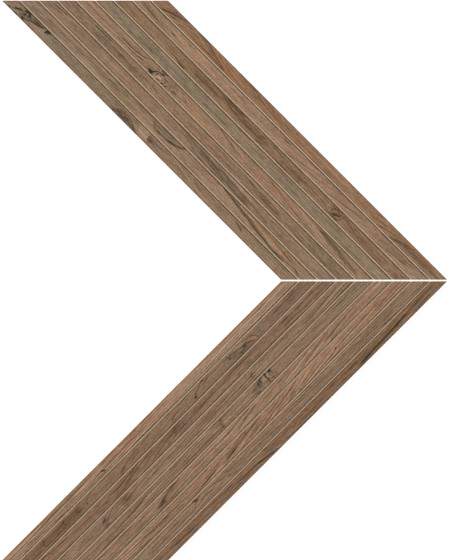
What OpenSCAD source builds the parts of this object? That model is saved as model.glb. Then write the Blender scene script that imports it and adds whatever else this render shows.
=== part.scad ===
// Chevron wall tile: two mirror-image banks of mitred wood-look porcelain
// strips, set edge to edge on one glass-fibre net, with a pale recessed filler
// in the joints. It lies face up: the nose points along +X, the two ends lie
// at +Y and -Y, and the net's underside is at z = 0.
// The origin is the middle of the outline, on the underside.

/* [Strips] */
// Width of one strip, square across its long edges
strip_w = 17; // [12:0.5:25]
// Thickness of one strip
strip_t = 9.5; // [7:0.5:12]
// Length of a strip's long edge, from mitre to mitre
long_edge = 595; // [400:5:900]
// Bevel along the two long upper edges of every strip
edge_bevel = 0.5; // [0.2:0.1:1]

/* [Joints] */
// Width of the joint between two strips
joint_w = 3; // [2:0.5:5]
// How far the filler's surface lies below the strips' faces
joint_drop = 1.8; // [0.6:0.1:3]
// Open gap between the mitred ends of the two banks
mitre_gap = 2.6; // [1:0.2:4]

/* [Net] */
// Thickness of the net that carries the strips
net_t = 0.5; // [0.3:0.1:1]
// How far the net stops short of the outer edges
net_inset = 2; // [1.5:0.5:5]

/* [Hidden] */

// Strips in one bank
n = 9;
// The mitres are sawn, so their upper edges keep a smaller bevel
mitre_bevel = 0.6 * edge_bevel;
// Distance from one strip's middle to the next, square across the strips
pitch = strip_w + joint_w;
// Width of a bank square across its strips
bank_w = n * strip_w + (n - 1) * joint_w;
// A bank runs at 45 degrees, so its mitred end is longer than its width
end_x = bank_w * sqrt(2);
// Extent of one bank along Y
bank_y = long_edge / sqrt(2);
// Outline of the whole tile
total_x = bank_y + end_x;
total_y = 2 * bank_y + mitre_gap;
// Span of the upper bank along Y
y_low = mitre_gap / 2;
y_high = total_y / 2;
y_mid = (y_low + y_high) / 2;
// Long enough to run past both mitres before they are cut
raw_l = long_edge + 4 * bank_w;

// A rectangle standing on its base, with its two upper corners bevelled
function bevelled(a, b, h, c) =
    [[a, 0], [b, 0], [b, h - c], [b - c, h], [a + c, h], [a, h - c]];

// A raw bar in the upper bank, its middle "across" mm from the bank's left edge
module raw_bar(across, w, h, c)
    translate([-total_x / 2 + bank_y / 2 + across * sqrt(2), y_mid, net_t])
        rotate([0, 0, -45])
            rotate([90, 0, 90])
                linear_extrude(height = raw_l, center = true)
                    polygon(c > 0
                        ? bevelled(-w / 2, w / 2, h, c)
                        : [[-w / 2, 0], [w / 2, 0], [w / 2, h], [-w / 2, h]]);

// The slab between the two mitre planes of the upper bank
module mitres(h, c)
    translate([0, 0, net_t])
        rotate([90, 0, 90])
            linear_extrude(height = 3 * total_x, center = true)
                polygon(c > 0
                    ? bevelled(y_low, y_high, h, c)
                    : [[y_low, 0], [y_high, 0], [y_high, h], [y_low, h]]);

// Strip i of the upper bank, counted from the notch side to the nose side
module upper_strip(i)
    color("#8a6f57")
        intersection() {
            raw_bar(strip_w / 2 + (i - 1) * pitch, strip_w, strip_t, edge_bevel);
            mitres(strip_t, mitre_bevel);
        }

// Strip i of the lower bank is the mirror image of the upper one
module lower_strip(i)
    mirror([0, 1, 0]) upper_strip(i);

// One bar of filler in each joint, flush with the mitred ends
module joint_filler_upper()
    color("#d8cab0")
        for (j = [1 : n - 1])
            intersection() {
                raw_bar(j * pitch - joint_w / 2, joint_w, strip_t - joint_drop, 0);
                mitres(strip_t - joint_drop, 0);
            }

module joint_filler_lower()
    mirror([0, 1, 0]) joint_filler_upper();

// The net follows the whole outline and bridges the gap between the banks
module backing_net() {
    left = -total_x / 2 + net_inset * sqrt(2);
    right = -total_x / 2 + end_x - net_inset * sqrt(2);
    top = total_y / 2 - net_inset;
    color("#e9e6dd")
        linear_extrude(height = net_t)
            polygon([
                [left + net_inset, top],
                [right + net_inset, top],
                [right + total_y / 2, 0],
                [right + net_inset, -top],
                [left + net_inset, -top],
                [left + total_y / 2, 0]
            ]);
}

upper_strip(1);  // upper_strip_1
upper_strip(2);  // upper_strip_2
upper_strip(3);  // upper_strip_3
upper_strip(4);  // upper_strip_4
upper_strip(5);  // upper_strip_5
upper_strip(6);  // upper_strip_6
upper_strip(7);  // upper_strip_7
upper_strip(8);  // upper_strip_8
upper_strip(9);  // upper_strip_9
lower_strip(1);  // lower_strip_1
lower_strip(2);  // lower_strip_2
lower_strip(3);  // lower_strip_3
lower_strip(4);  // lower_strip_4
lower_strip(5);  // lower_strip_5
lower_strip(6);  // lower_strip_6
lower_strip(7);  // lower_strip_7
lower_strip(8);  // lower_strip_8
lower_strip(9);  // lower_strip_9
joint_filler_upper();
joint_filler_lower();
backing_net();
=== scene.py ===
import math

import bpy
import numpy as np
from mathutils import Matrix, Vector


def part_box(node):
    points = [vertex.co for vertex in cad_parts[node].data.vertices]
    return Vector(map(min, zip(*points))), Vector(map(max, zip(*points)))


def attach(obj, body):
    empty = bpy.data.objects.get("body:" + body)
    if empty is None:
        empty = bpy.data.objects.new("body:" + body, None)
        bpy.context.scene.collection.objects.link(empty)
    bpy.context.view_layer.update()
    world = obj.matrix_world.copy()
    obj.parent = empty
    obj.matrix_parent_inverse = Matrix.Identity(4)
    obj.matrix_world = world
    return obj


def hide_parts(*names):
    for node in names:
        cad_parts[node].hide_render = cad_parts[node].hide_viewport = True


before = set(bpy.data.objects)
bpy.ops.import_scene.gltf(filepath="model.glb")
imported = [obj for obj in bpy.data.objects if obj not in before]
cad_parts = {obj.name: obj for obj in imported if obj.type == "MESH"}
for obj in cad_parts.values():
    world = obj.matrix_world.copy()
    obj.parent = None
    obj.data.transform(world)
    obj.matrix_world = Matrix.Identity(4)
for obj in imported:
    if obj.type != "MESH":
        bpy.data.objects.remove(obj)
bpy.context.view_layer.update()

MM = 0.001
R2 = math.sqrt(2.0)
# The figure of every strip is laid out on its own ruler: 394.6 marks to a
# strip's length and 11.3 across it.
MARK = 1.5077


# ----------------------------------------------------------------------------
# Smooth noise on a lattice, the same in every run
# ----------------------------------------------------------------------------
def lattice(ix, iy, seed):
    h = (ix * 374761393 + iy * 668265263 + seed * 974634777) & 0xFFFFFFFF
    h = ((h ^ (h >> 13)) * 1274126177) & 0xFFFFFFFF
    h = ((h ^ (h >> 16)) * 668265263) & 0xFFFFFFFF
    return ((h ^ (h >> 15)) & 0xFFFF) / 32767.5 - 1.0


def noise(x, y, seed):
    """Between -1 and 1, smooth, one wave or so for each unit of x and y."""
    x, y = np.broadcast_arrays(np.asarray(x, float), np.asarray(y, float))
    ix, iy = np.floor(x).astype(np.int64), np.floor(y).astype(np.int64)
    fx, fy = x - ix, y - iy
    fx, fy = fx * fx * (3 - 2 * fx), fy * fy * (3 - 2 * fy)
    a, b = lattice(ix, iy, seed), lattice(ix + 1, iy, seed)
    c, d = lattice(ix, iy + 1, seed), lattice(ix + 1, iy + 1, seed)
    return (a + (b - a) * fx) * (1 - fy) + (c + (d - c) * fx) * fy


def ramp(x, a, b):
    t = np.clip((x - a) / (b - a), 0.0, 1.0)
    return t * t * (3 - 2 * t)


# ----------------------------------------------------------------------------
# What a strip's figure is made of
# ----------------------------------------------------------------------------
# Tones: 0 dark, 1 black, 2 green, 3 warm, 4 pale, 5 grey
DARK, BLACK, GREEN, WARM, PALE, GREY = range(6)


def line(tone, amount, half, *points, p=2.5, taper=0.12, rough=0.3):
    """A vein through the points (along, across): half is its half width."""
    return ("line", tone, amount, half, points, p, taper, rough)


def spot(tone, amount, along, across, r_along, r_across, turn=0.0, p=3.0, rough=0.2):
    """An oval patch, turned by some degrees."""
    return ("spot", tone, amount, along, across, r_along, r_across, turn, p, rough)


def sheaf(tone, amount, half, across, count, *points):
    """Several thin veins side by side, so far across from first to last."""
    return ("sheaf", tone, amount, half, across, count, points)


def bend(along, across, lift, reach, spread):
    """The grain lifts by so much round this place."""
    return ("bend", along, across, lift, reach, spread)


def smooth_path(points, parts=5):
    """A Catmull-Rom curve through the points."""
    p = np.array(points, float)
    if len(p) < 3:
        return p
    q = np.vstack([2 * p[0] - p[1], p, 2 * p[-1] - p[-2]])
    out = []
    for k in range(1, len(q) - 2):
        for t in np.arange(parts) / parts:
            out.append(
                0.5
                * (
                    2 * q[k]
                    + (q[k + 1] - q[k - 1]) * t
                    + (2 * q[k - 1] - 5 * q[k] + 4 * q[k + 1] - q[k + 2]) * t * t
                    + (3 * q[k] - q[k - 1] - 3 * q[k + 1] + q[k + 2]) * t**3
                )
            )
    out.append(p[-1])
    return np.array(out)


def line_mask(s, w, half, points, p, taper, rough, seed):
    path = smooth_path(points)
    d_best = np.full(s.shape, 1e9)
    t_best = np.zeros(s.shape)
    seg = np.hypot(*(path[1:] - path[:-1]).T)
    at = np.concatenate([[0.0], np.cumsum(seg)])
    total = at[-1]
    lo_s, hi_s = path[:, 0].min() - 4 * half - 2, path[:, 0].max() + 4 * half + 2
    near = (s > lo_s) & (s < hi_s)
    sn, wn = s[near], w[near]
    dn, tn = d_best[near], t_best[near]
    for k in range(len(seg)):
        if seg[k] < 1e-9:
            continue
        e = (path[k + 1] - path[k]) / seg[k]
        u = (sn - path[k, 0]) * e[0] + (wn - path[k, 1]) * e[1]
        uc = np.clip(u, 0, seg[k])
        d = np.hypot(sn - path[k, 0] - uc * e[0], wn - path[k, 1] - uc * e[1])
        better = d < dn
        dn = np.where(better, d, dn)
        tn = np.where(better, at[k] + uc, tn)
    wob = 1.0 + rough * noise(sn / 3.1, wn / 1.1, seed) + rough * noise(tn / 7.0, 0 * tn, seed + 3)
    t = tn / total
    thin = np.sqrt(np.clip(np.minimum(ramp(t, 0, max(taper, 1e-6)), ramp(1 - t, 0, max(taper, 1e-6))), 1e-6, 1)) if taper else 1.0
    q = dn / (half * np.clip(wob, 0.35, 2.0) * np.clip(thin, 0.12, 1))
    m, halo = np.zeros(s.shape), np.zeros(s.shape)
    m[near] = np.exp(-0.693 * q**p) * (thin if taper else 1.0)
    halo[near] = np.exp(-0.693 * (q / 2.3) ** 3) * (thin if taper else 1.0)
    return m, np.clip(halo - m, 0.0, 1.0)


def spot_mask(s, w, a, c, ra, rc, turn, p, rough, seed):
    ct, st = math.cos(math.radians(turn)), math.sin(math.radians(turn))
    ds, dw = s - a, w - c
    x, y = (ds * ct + dw * st) / ra, (-ds * st + dw * ct) / rc
    q = np.hypot(x, y)
    q = q * (1 + rough * noise(s / 2.6, w / 1.3, seed) + 0.6 * rough * noise(s / 1.1, w / 0.8, seed + 9))
    return np.exp(-0.693 * np.clip(q, 0, 9) ** p)


def unfold(marks):
    """A sheaf's veins one by one, the outer ones a little weaker."""
    out = []
    for m in marks:
        if m[0] != "sheaf":
            out.append(m)
            continue
        _, tone, amount, half, across, count, points = m
        for k, q in enumerate(np.linspace(-0.5, 0.5, count)):
            drift = 5.0 * q * (-1) ** k
            moved = [(a + drift, c + across * q) for a, c in points]
            out.append(line(tone, amount * (1.0 - 0.3 * abs(q)), half, *moved))
    return out


def grain_shift(s, w, bends):
    """How far the grain is lifted across the strip, in marks."""
    up = np.zeros(s.shape)
    for b in bends:
        _, a, c, lift, reach, spread = b
        up += lift * np.exp(-(((s - a) / reach) ** 2)) * np.exp(-(((w - c) / spread) ** 2))
    return up


# ----------------------------------------------------------------------------
# The eighteen strips. "rings" is the spacing and strength of the growth lines,
# "lean" how far the grain has drifted across the strip; the figure follows.
# ----------------------------------------------------------------------------
FIGURE = {}

FIGURE["upper", 1] = dict(
    rings=(2.8, 0.35), lean=[(0, 0), (60, 5), (195, 5), (265, -2), (400, -4)],
    dense=[(0, 62), (150, 215)],
    marks=[
        spot(BLACK, 0.8, 9.5, 0.3, 3.0, 1.2), spot(BLACK, 0.8, 17.5, 0.4, 3.2, 1.0),
        spot(WARM, 0.4, 18, 8, 7, 3), spot(PALE, 0.3, 22, 9.3, 4, 1.6),
        line(GREEN, 0.9, 1.4, (7, 0.8), (10.5, 1.8), (14.5, 3.9), (18.7, 6.8), (24.5, 9.3), (29, 11.5), p=3, taper=0.05),
        line(GREY, 0.7, 1.0, (12, 2.2), (14.5, 3.9), (18.7, 6.6), (24.5, 9.2), (28, 11), p=3),
        line(BLACK, 0.8, 0.6, (14, 4.0), (16.5, 5.2), (19, 7), (21, 7.8)),
        line(BLACK, 0.8, 0.8, (24, 9), (27, 10.6), (31, 11.2)),
        line(BLACK, 0.5, 0.45, (20.5, 4.2), (22.5, 2.8), (25, 2.6), (27, 3.6)),
        line(BLACK, 0.5, 0.4, (22, 4.8), (24.5, 4.5), (26.5, 5.4)), line(PALE, 0.5, 0.45, (20.6, 5.4), (23, 3.7), (25.4, 3.6)),
        spot(WARM, 0.6, 22.8, 3.6, 2.0, 0.9), spot(PALE, 0.4, 19.5, 3.2, 1.4, 0.8),
        spot(BLACK, 0.8, 26.8, 1.8, 1.8, 1.2), line(BLACK, 0.8, 0.5, (25.5, 5.6), (26.3, 6.6), (27.2, 8)),
        spot(PALE, 0.6, 27.9, 5.6, 0.9, 0.9), spot(PALE, 0.5, 31.5, 6.6, 1.4, 0.8),
        spot(BLACK, 1.1, 30.6, 9.0, 1.3, 1.3), spot(PALE, 0.5, 32.6, 9.9, 0.9, 0.6),
        spot(DARK, 0.65, 36, 8.0, 10, 3.0, turn=14), spot(GREY, 0.6, 38, 8.6, 10, 2.8, turn=12),
        spot(GREEN, 0.5, 28.5, 4.5, 3.5, 3.6, turn=40), line(PALE, 0.5, 0.5, (29, 4.2), (33, 6.8), (38, 7.8)),
        line(BLACK, 0.7, 0.36, (26, 1.0), (28, 2), (31, 4), (35.3, 5.6), (39.5, 6.4), (44.5, 8), (48.7, 9.7), (51, 11.5), taper=0.05),
        line(PALE, 0.4, 0.6, (32, 3.2), (37, 4.8), (43, 6.4), (48, 8.4)), line(BLACK, 0.5, 0.4, (36, 8.4), (40, 8.8), (43, 10.4)),
        line(DARK, 0.4, 1.0, (39, 7), (44.5, 8.8), (48.7, 10.4), (51, 11.5)),
        spot(BLACK, 1.1, 54.2, 9.6, 1.8, 1.8, turn=20), spot(BLACK, 0.9, 56.8, 10.9, 2.0, 1.2), line(BLACK, 0.6, 0.4, (52, 6.4), (53.6, 8.4)),
        spot(PALE, 0.7, 50.7, 9.0, 1.5, 1.8, turn=50), spot(PALE, 0.3, 46, 3.5, 9, 3.0),
        spot(GREEN, 0.4, 66, 7, 10, 4), spot(GREEN, 0.3, 100, 6, 45, 5),
        spot(DARK, 0.3, 157, 1.5, 5, 2.2), spot(DARK, 0.24, 170, 3.2, 15, 3.6, turn=-4, p=4, rough=0.5), spot(GREEN, 0.4, 172, 3.6, 15, 3.8, p=4, rough=0.5), spot(DARK, 0.5, 162, 5.6, 3.5, 1.4, turn=20, rough=0.5), spot(DARK, 0.5, 173, 4.6, 4, 1.2, turn=-15, rough=0.5), spot(DARK, 0.4, 166, 2.0, 5, 1.2, rough=0.5), spot(DARK, 0.5, 183, 1.0, 6, 1.2, rough=0.5),
        line(DARK, 0.4, 0.5, (157, 5.8), (160, 6.8), (165, 7.7), (170, 7.4), (175, 6.8), (180, 4.8), (183, 2.7), (187, 0.4), rough=0.6),
        line(DARK, 0.35, 0.45, (155, 3.5), (160, 5.2), (168, 5.8), (175, 4.2), (180, 1.6)),
        line(DARK, 0.3, 0.45, (158, 2.2), (162, 3.8), (168, 3.9), (174, 2.4), (176, 0.6)),
        line(DARK, 0.3, 0.45, (161, 1.2), (165, 2.4), (170, 2.0), (173, 0.6)),
        line(BLACK, 0.5, 0.5, (155, 0.4), (156, 2.6)), line(DARK, 0.5, 0.5, (184, 1.2), (192, 0.4)),
        line(DARK, 0.5, 0.6, (176, 6.4), (181, 4.2), (185, 1.6)), spot(PALE, 0.8, 194, 6.4, 7.5, 4.8, p=4), spot(WARM, 0.35, 178, 10, 12, 2.2),
        spot(DARK, 0.6, 203.4, 5.8, 2.6, 2.8, turn=25), spot(DARK, 0.5, 207, 5.6, 4.5, 1.3), line(DARK, 0.7, 0.5, (200.5, 9.6), (201, 6), (203, 3.4)),
        line(DARK, 0.7, 0.45, (199, 10.4), (203, 8.3), (211, 7.6), (221, 7.3)),
        line(GREY, 0.8, 0.5, (205, 9.3), (213, 8.4), (222, 8.9), (232, 9.2)),
        spot(GREY, 0.6, 222.5, 6.8, 3.5, 0.8, turn=-10), line(DARK, 0.5, 0.45, (207, 2.6), (214, 3.4), (222, 3.0)),
        spot(WARM, 0.5, 224, 3.2, 13, 2.0), spot(PALE, 0.3, 216, 4.8, 8, 1.4),
        line(GREY, 1.0, 0.5, (229, 8.6), (237.5, 7.7), (249, 5.6), (258.5, 4.2), taper=0.25),
        line(DARK, 0.6, 0.45, (240, 7.4), (249, 5.6), (256, 4.3)), line(PALE, 0.4, 0.5, (236, 9.2), (250, 6.9), (262, 5.0)),
        spot(GREY, 0.5, 254.5, 4.3, 4, 0.7, turn=-15),
        line(DARK, 0.45, 0.45, (260, 9.2), (268, 7), (276, 5.6)), spot(WARM, 0.25, 280, 6, 20, 4),
        line(DARK, 0.6, 0.6, (323, 9.4), (328, 7.6), (333, 5.9)), spot(DARK, 0.25, 322, 8.5, 7, 1.3),
    ],
)
FIGURE["upper", 2] = dict(
    rings=(3.0, 0.32), lean=[(20, 0), (287, 0), (390, -8), (410, -8)],
    dense=[(186, 240), (283, 392)],
    marks=[
        spot(GREY, 0.3, 40, 6, 26, 6), spot(GREY, 0.3, 85, 4, 14, 3),
        line(DARK, 0.45, 0.5, (24, 4.1), (29, 4), (34, 4)), line(DARK, 0.35, 0.5, (42, 3.6), (55, 4.5)),
        line(DARK, 0.45, 0.5, (44, 6.6), (50, 7.2), (56, 7)), line(DARK, 0.3, 0.5, (63, 6.8), (70, 7)),
        line(DARK, 0.4, 0.5, (83, 4.8), (90, 4.9), (97, 5.6)), line(DARK, 0.3, 0.5, (100, 8.5), (112, 9.4), (122, 9.8)),
        spot(PALE, 0.25, 105, 3.5, 12, 2.2), line(DARK, 0.35, 0.6, (130, 6.8), (139, 7.4), (147, 7)),
        line(DARK, 0.3, 0.5, (145, 9), (158, 8.4)), spot(GREEN, 0.3, 140, 6, 50, 6),
        spot(PALE, 0.2, 190, 4.5, 12, 4), spot(WARM, 0.2, 150, 2.5, 50, 2.6),
        spot(DARK, 0.22, 213, 8.6, 15, 3.8, p=4), spot(GREEN, 0.4, 213, 7.8, 17, 4.4, p=4),
        line(DARK, 0.5, 0.9, (191.5, 10.8), (195, 7.7), (197, 5.4), (201.5, 4.4), (207, 4.4), (212, 4.6), (218, 5.0), (222, 5.9), taper=0.1),
        line(DARK, 0.4, 1.2, (214, 4.8), (220, 5.4), (226, 7.2), (231, 9.4), (236, 11.4), taper=0.1),
        line(BLACK, 0.7, 0.65, (217, 5.1), (223, 6.3), (228, 8.0), (231, 9.2), (235.5, 11.2), taper=0.1),
        line(GREY, 0.5, 0.6, (202, 5.8), (210, 6.4), (218, 7.2), (224, 9.4)), line(DARK, 0.4, 0.4, (198, 8.6), (206, 7.6), (214, 8.4), (220, 10.4)),
        line(GREY, 0.5, 0.6, (232, 3.6), (242, 4), (253, 4.6)), line(GREEN, 0.45, 1.0, (230, 3.4), (245, 3.8), (256, 4.6)),
        line(DARK, 0.35, 0.5, (262, 5.4), (278, 6.8), (286, 6.9)), spot(WARM, 0.3, 266, 9.5, 20, 1.8),
        line(GREEN, 0.6, 1.0, (285, 11.4), (300, 10.1), (310, 8.7), (322, 7.2), (330, 6.1), (340, 4.9), (350, 3.6), (358.5, 2.4), (366, 1.6), (376, 1.3), (388, 1.4), taper=0.08),
        line(DARK, 0.62, 0.85, (287, 11.5), (300, 9.9), (310, 8.5), (321.8, 7.0), (330, 5.9), (340, 4.8), (350, 3.5), (358.5, 2.3), (365, 1.4), (375, 1.1), (386, 1.2), taper=0.08),
        line(BLACK, 0.15, 0.5, (296, 9.9), (310, 8.0), (330, 5.4), (345, 3.7), (358, 1.9), (372, 0.8), (384, 0.8), taper=0.1),
        line(DARK, 0.5, 0.45, (298, 11.2), (312, 9.7), (324, 8.2), (338, 6.4), (350, 5.2), (362, 3.4)),
        line(DARK, 0.7, 0.45, (366, 1.4), (378.5, 3), (385, 2.6), (392, 3.8), (398, 3.8), (404, 1.8)),
        line(DARK, 0.7, 0.5, (398, 3.6), (403, 1.7), (406, 1.0)), line(DARK, 0.6, 0.45, (376, 9.4), (380, 7.6), (386, 6.8), (392, 6.2)),
        line(DARK, 0.5, 0.4, (378, 8), (379, 10.5)), line(DARK, 0.4, 0.4, (384, 9.8), (390, 8.4), (397, 7.4)),
        spot(WARM, 0.5, 350, 8.2, 32, 3.4, turn=-4), spot(WARM, 0.3, 390, 7.5, 14, 4),
    ],
)
FIGURE["upper", 3] = dict(
    rings=(2.7, 0.50), lean=[(30, 0), (90, 5), (180, 5), (250, 2), (345, -6), (425, -7)],
    dense=[(215, 345)],
    marks=[
        line(DARK, 0.5, 0.5, (36, 5), (44, 5.6), (53, 7)), line(DARK, 0.45, 0.5, (37, 8), (47, 8.6), (59, 9.4)),
        line(DARK, 0.4, 0.45, (70, 4.7), (85, 6.4)), line(DARK, 0.4, 0.45, (90, 7.4), (105, 7.6)),
        spot(GREY, 0.3, 75, 5, 40, 5), spot(WARM, 0.3, 150, 5, 35, 5), line(PALE, 0.3, 0.5, (96, 4.4), (130, 6.0), (160, 6.8)),
        line(DARK, 0.5, 0.45, (195, 5.1), (206, 4.8), (216, 4.2)), line(DARK, 0.4, 0.45, (165, 7.6), (190, 7.8)),
        line(DARK, 0.6, 0.5, (233, 3.6), (243, 2.8), (250, 2.1), (256, 1.7), (261, 1.1), (275, 0.9), (288, 0.9)),
        sheaf(DARK, 0.45, 0.45, 3.4, 3, (222, 9.6), (240, 7.6), (256, 6.6), (276, 5.6)),
        sheaf(DARK, 0.4, 0.45, 3.6, 3, (262, 6.8), (280, 5.6), (300, 4.6), (322, 3.2)),
        spot(DARK, 0.14, 262, 6.2, 20, 3.4, turn=-8, p=4), spot(DARK, 0.12, 298, 5.0, 26, 3.2, turn=-6, p=4),
        spot(GREEN, 0.35, 275, 6, 34, 3.6, turn=-6), spot(DARK, 0.12, 322, 2.8, 20, 2.0, turn=-5),
        spot(PALE, 0.4, 300, 9.6, 20, 1.2, turn=-4), line(PALE, 0.4, 0.6, (277, 10.4), (298, 9.3), (316, 8.4), (330, 7.6)),
        line(DARK, 0.5, 0.45, (268, 9.4), (290, 8), (312, 6.4), (330, 4.6), (344, 3.2)),
        line(DARK, 0.4, 0.45, (262, 4), (285, 3), (310, 2), (330, 1.4)),
        line(DARK, 0.3, 0.5, (360, 5.4), (392, 4.6)), line(DARK, 0.3, 0.5, (345, 8.8), (372, 8.6)),
    ],
)
FIGURE["upper", 4] = dict(
    rings=(2.6, 0.52), lean=[(42, 0), (134, 3), (200, 1), (284, 0), (353, -5), (440, -6)],
    dense=[(60, 100)],
    marks=[
        line(GREEN, 0.8, 0.6, (65.5, 3.4), (70.5, 3.7)), line(DARK, 0.5, 0.5, (72, 4.2), (82, 4.6), (92, 5.2)),
        line(GREEN, 0.8, 0.7, (81, 9.2), (89, 9.2), (96.5, 9.4), (108, 9.7)), line(BLACK, 0.5, 0.5, (83, 9.2), (89, 9.2), (95, 9.4)),
        line(DARK, 0.4, 0.5, (96, 9.3), (110, 9.7), (123, 10)), sheaf(DARK, 0.4, 0.4, 3.4, 3, (84, 3.4), (110, 4.6), (134, 5.0), (160, 4.6)),
        line(DARK, 0.55, 0.45, (107, 5), (118, 5.8), (134, 5.4), (150, 5)), line(DARK, 0.4, 0.45, (125, 2.8), (146, 2.4)),
        line(DARK, 0.55, 0.45, (155, 5.9), (167, 5.2), (178, 4.5)), spot(WARM, 0.4, 170, 6.6, 16, 1.3),
        line(DARK, 0.45, 0.45, (177, 3.1), (191, 3)), line(DARK, 0.4, 0.45, (199, 1.2), (212, 1.3)),
        spot(WARM, 0.3, 225, 5, 38, 4.6), line(DARK, 0.35, 0.45, (215, 6.2), (245, 6.6)), line(DARK, 0.35, 0.45, (235, 3.8), (262, 3.4)),
        line(DARK, 0.5, 0.45, (284, 9.6), (297, 8.6), (311, 7.2)), line(PALE, 0.5, 0.6, (280, 10.6), (300, 9.6), (322, 8.4)),
        sheaf(DARK, 0.45, 0.4, 2.6, 3, (290, 7.2), (312, 6.0), (334, 5.0), (352, 4.2)),
        line(DARK, 0.4, 0.45, (301, 7.6), (316, 7.4)), line(DARK, 0.45, 0.45, (321, 4.1), (338, 3.8), (353, 3)),
        line(DARK, 0.45, 0.45, (316, 6.9), (332, 6.8), (349, 6.2)), line(PALE, 0.35, 0.5, (334, 8.0), (352, 6.6), (364, 5.0)),
        line(DARK, 0.6, 0.45, (347, 6.6), (353, 5.8), (360, 3.6), (368, 2.3), (378, 1.6), (389, 1.4), (408, 1.8), (428, 2.3), taper=0.2),
        spot(GREEN, 0.35, 400, 6.4, 35, 4), line(DARK, 0.4, 0.6, (425, 5), (433, 4.9)), line(DARK, 0.3, 0.45, (372, 4.6), (400, 4.4), (424, 4.9)),
    ],
)
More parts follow.
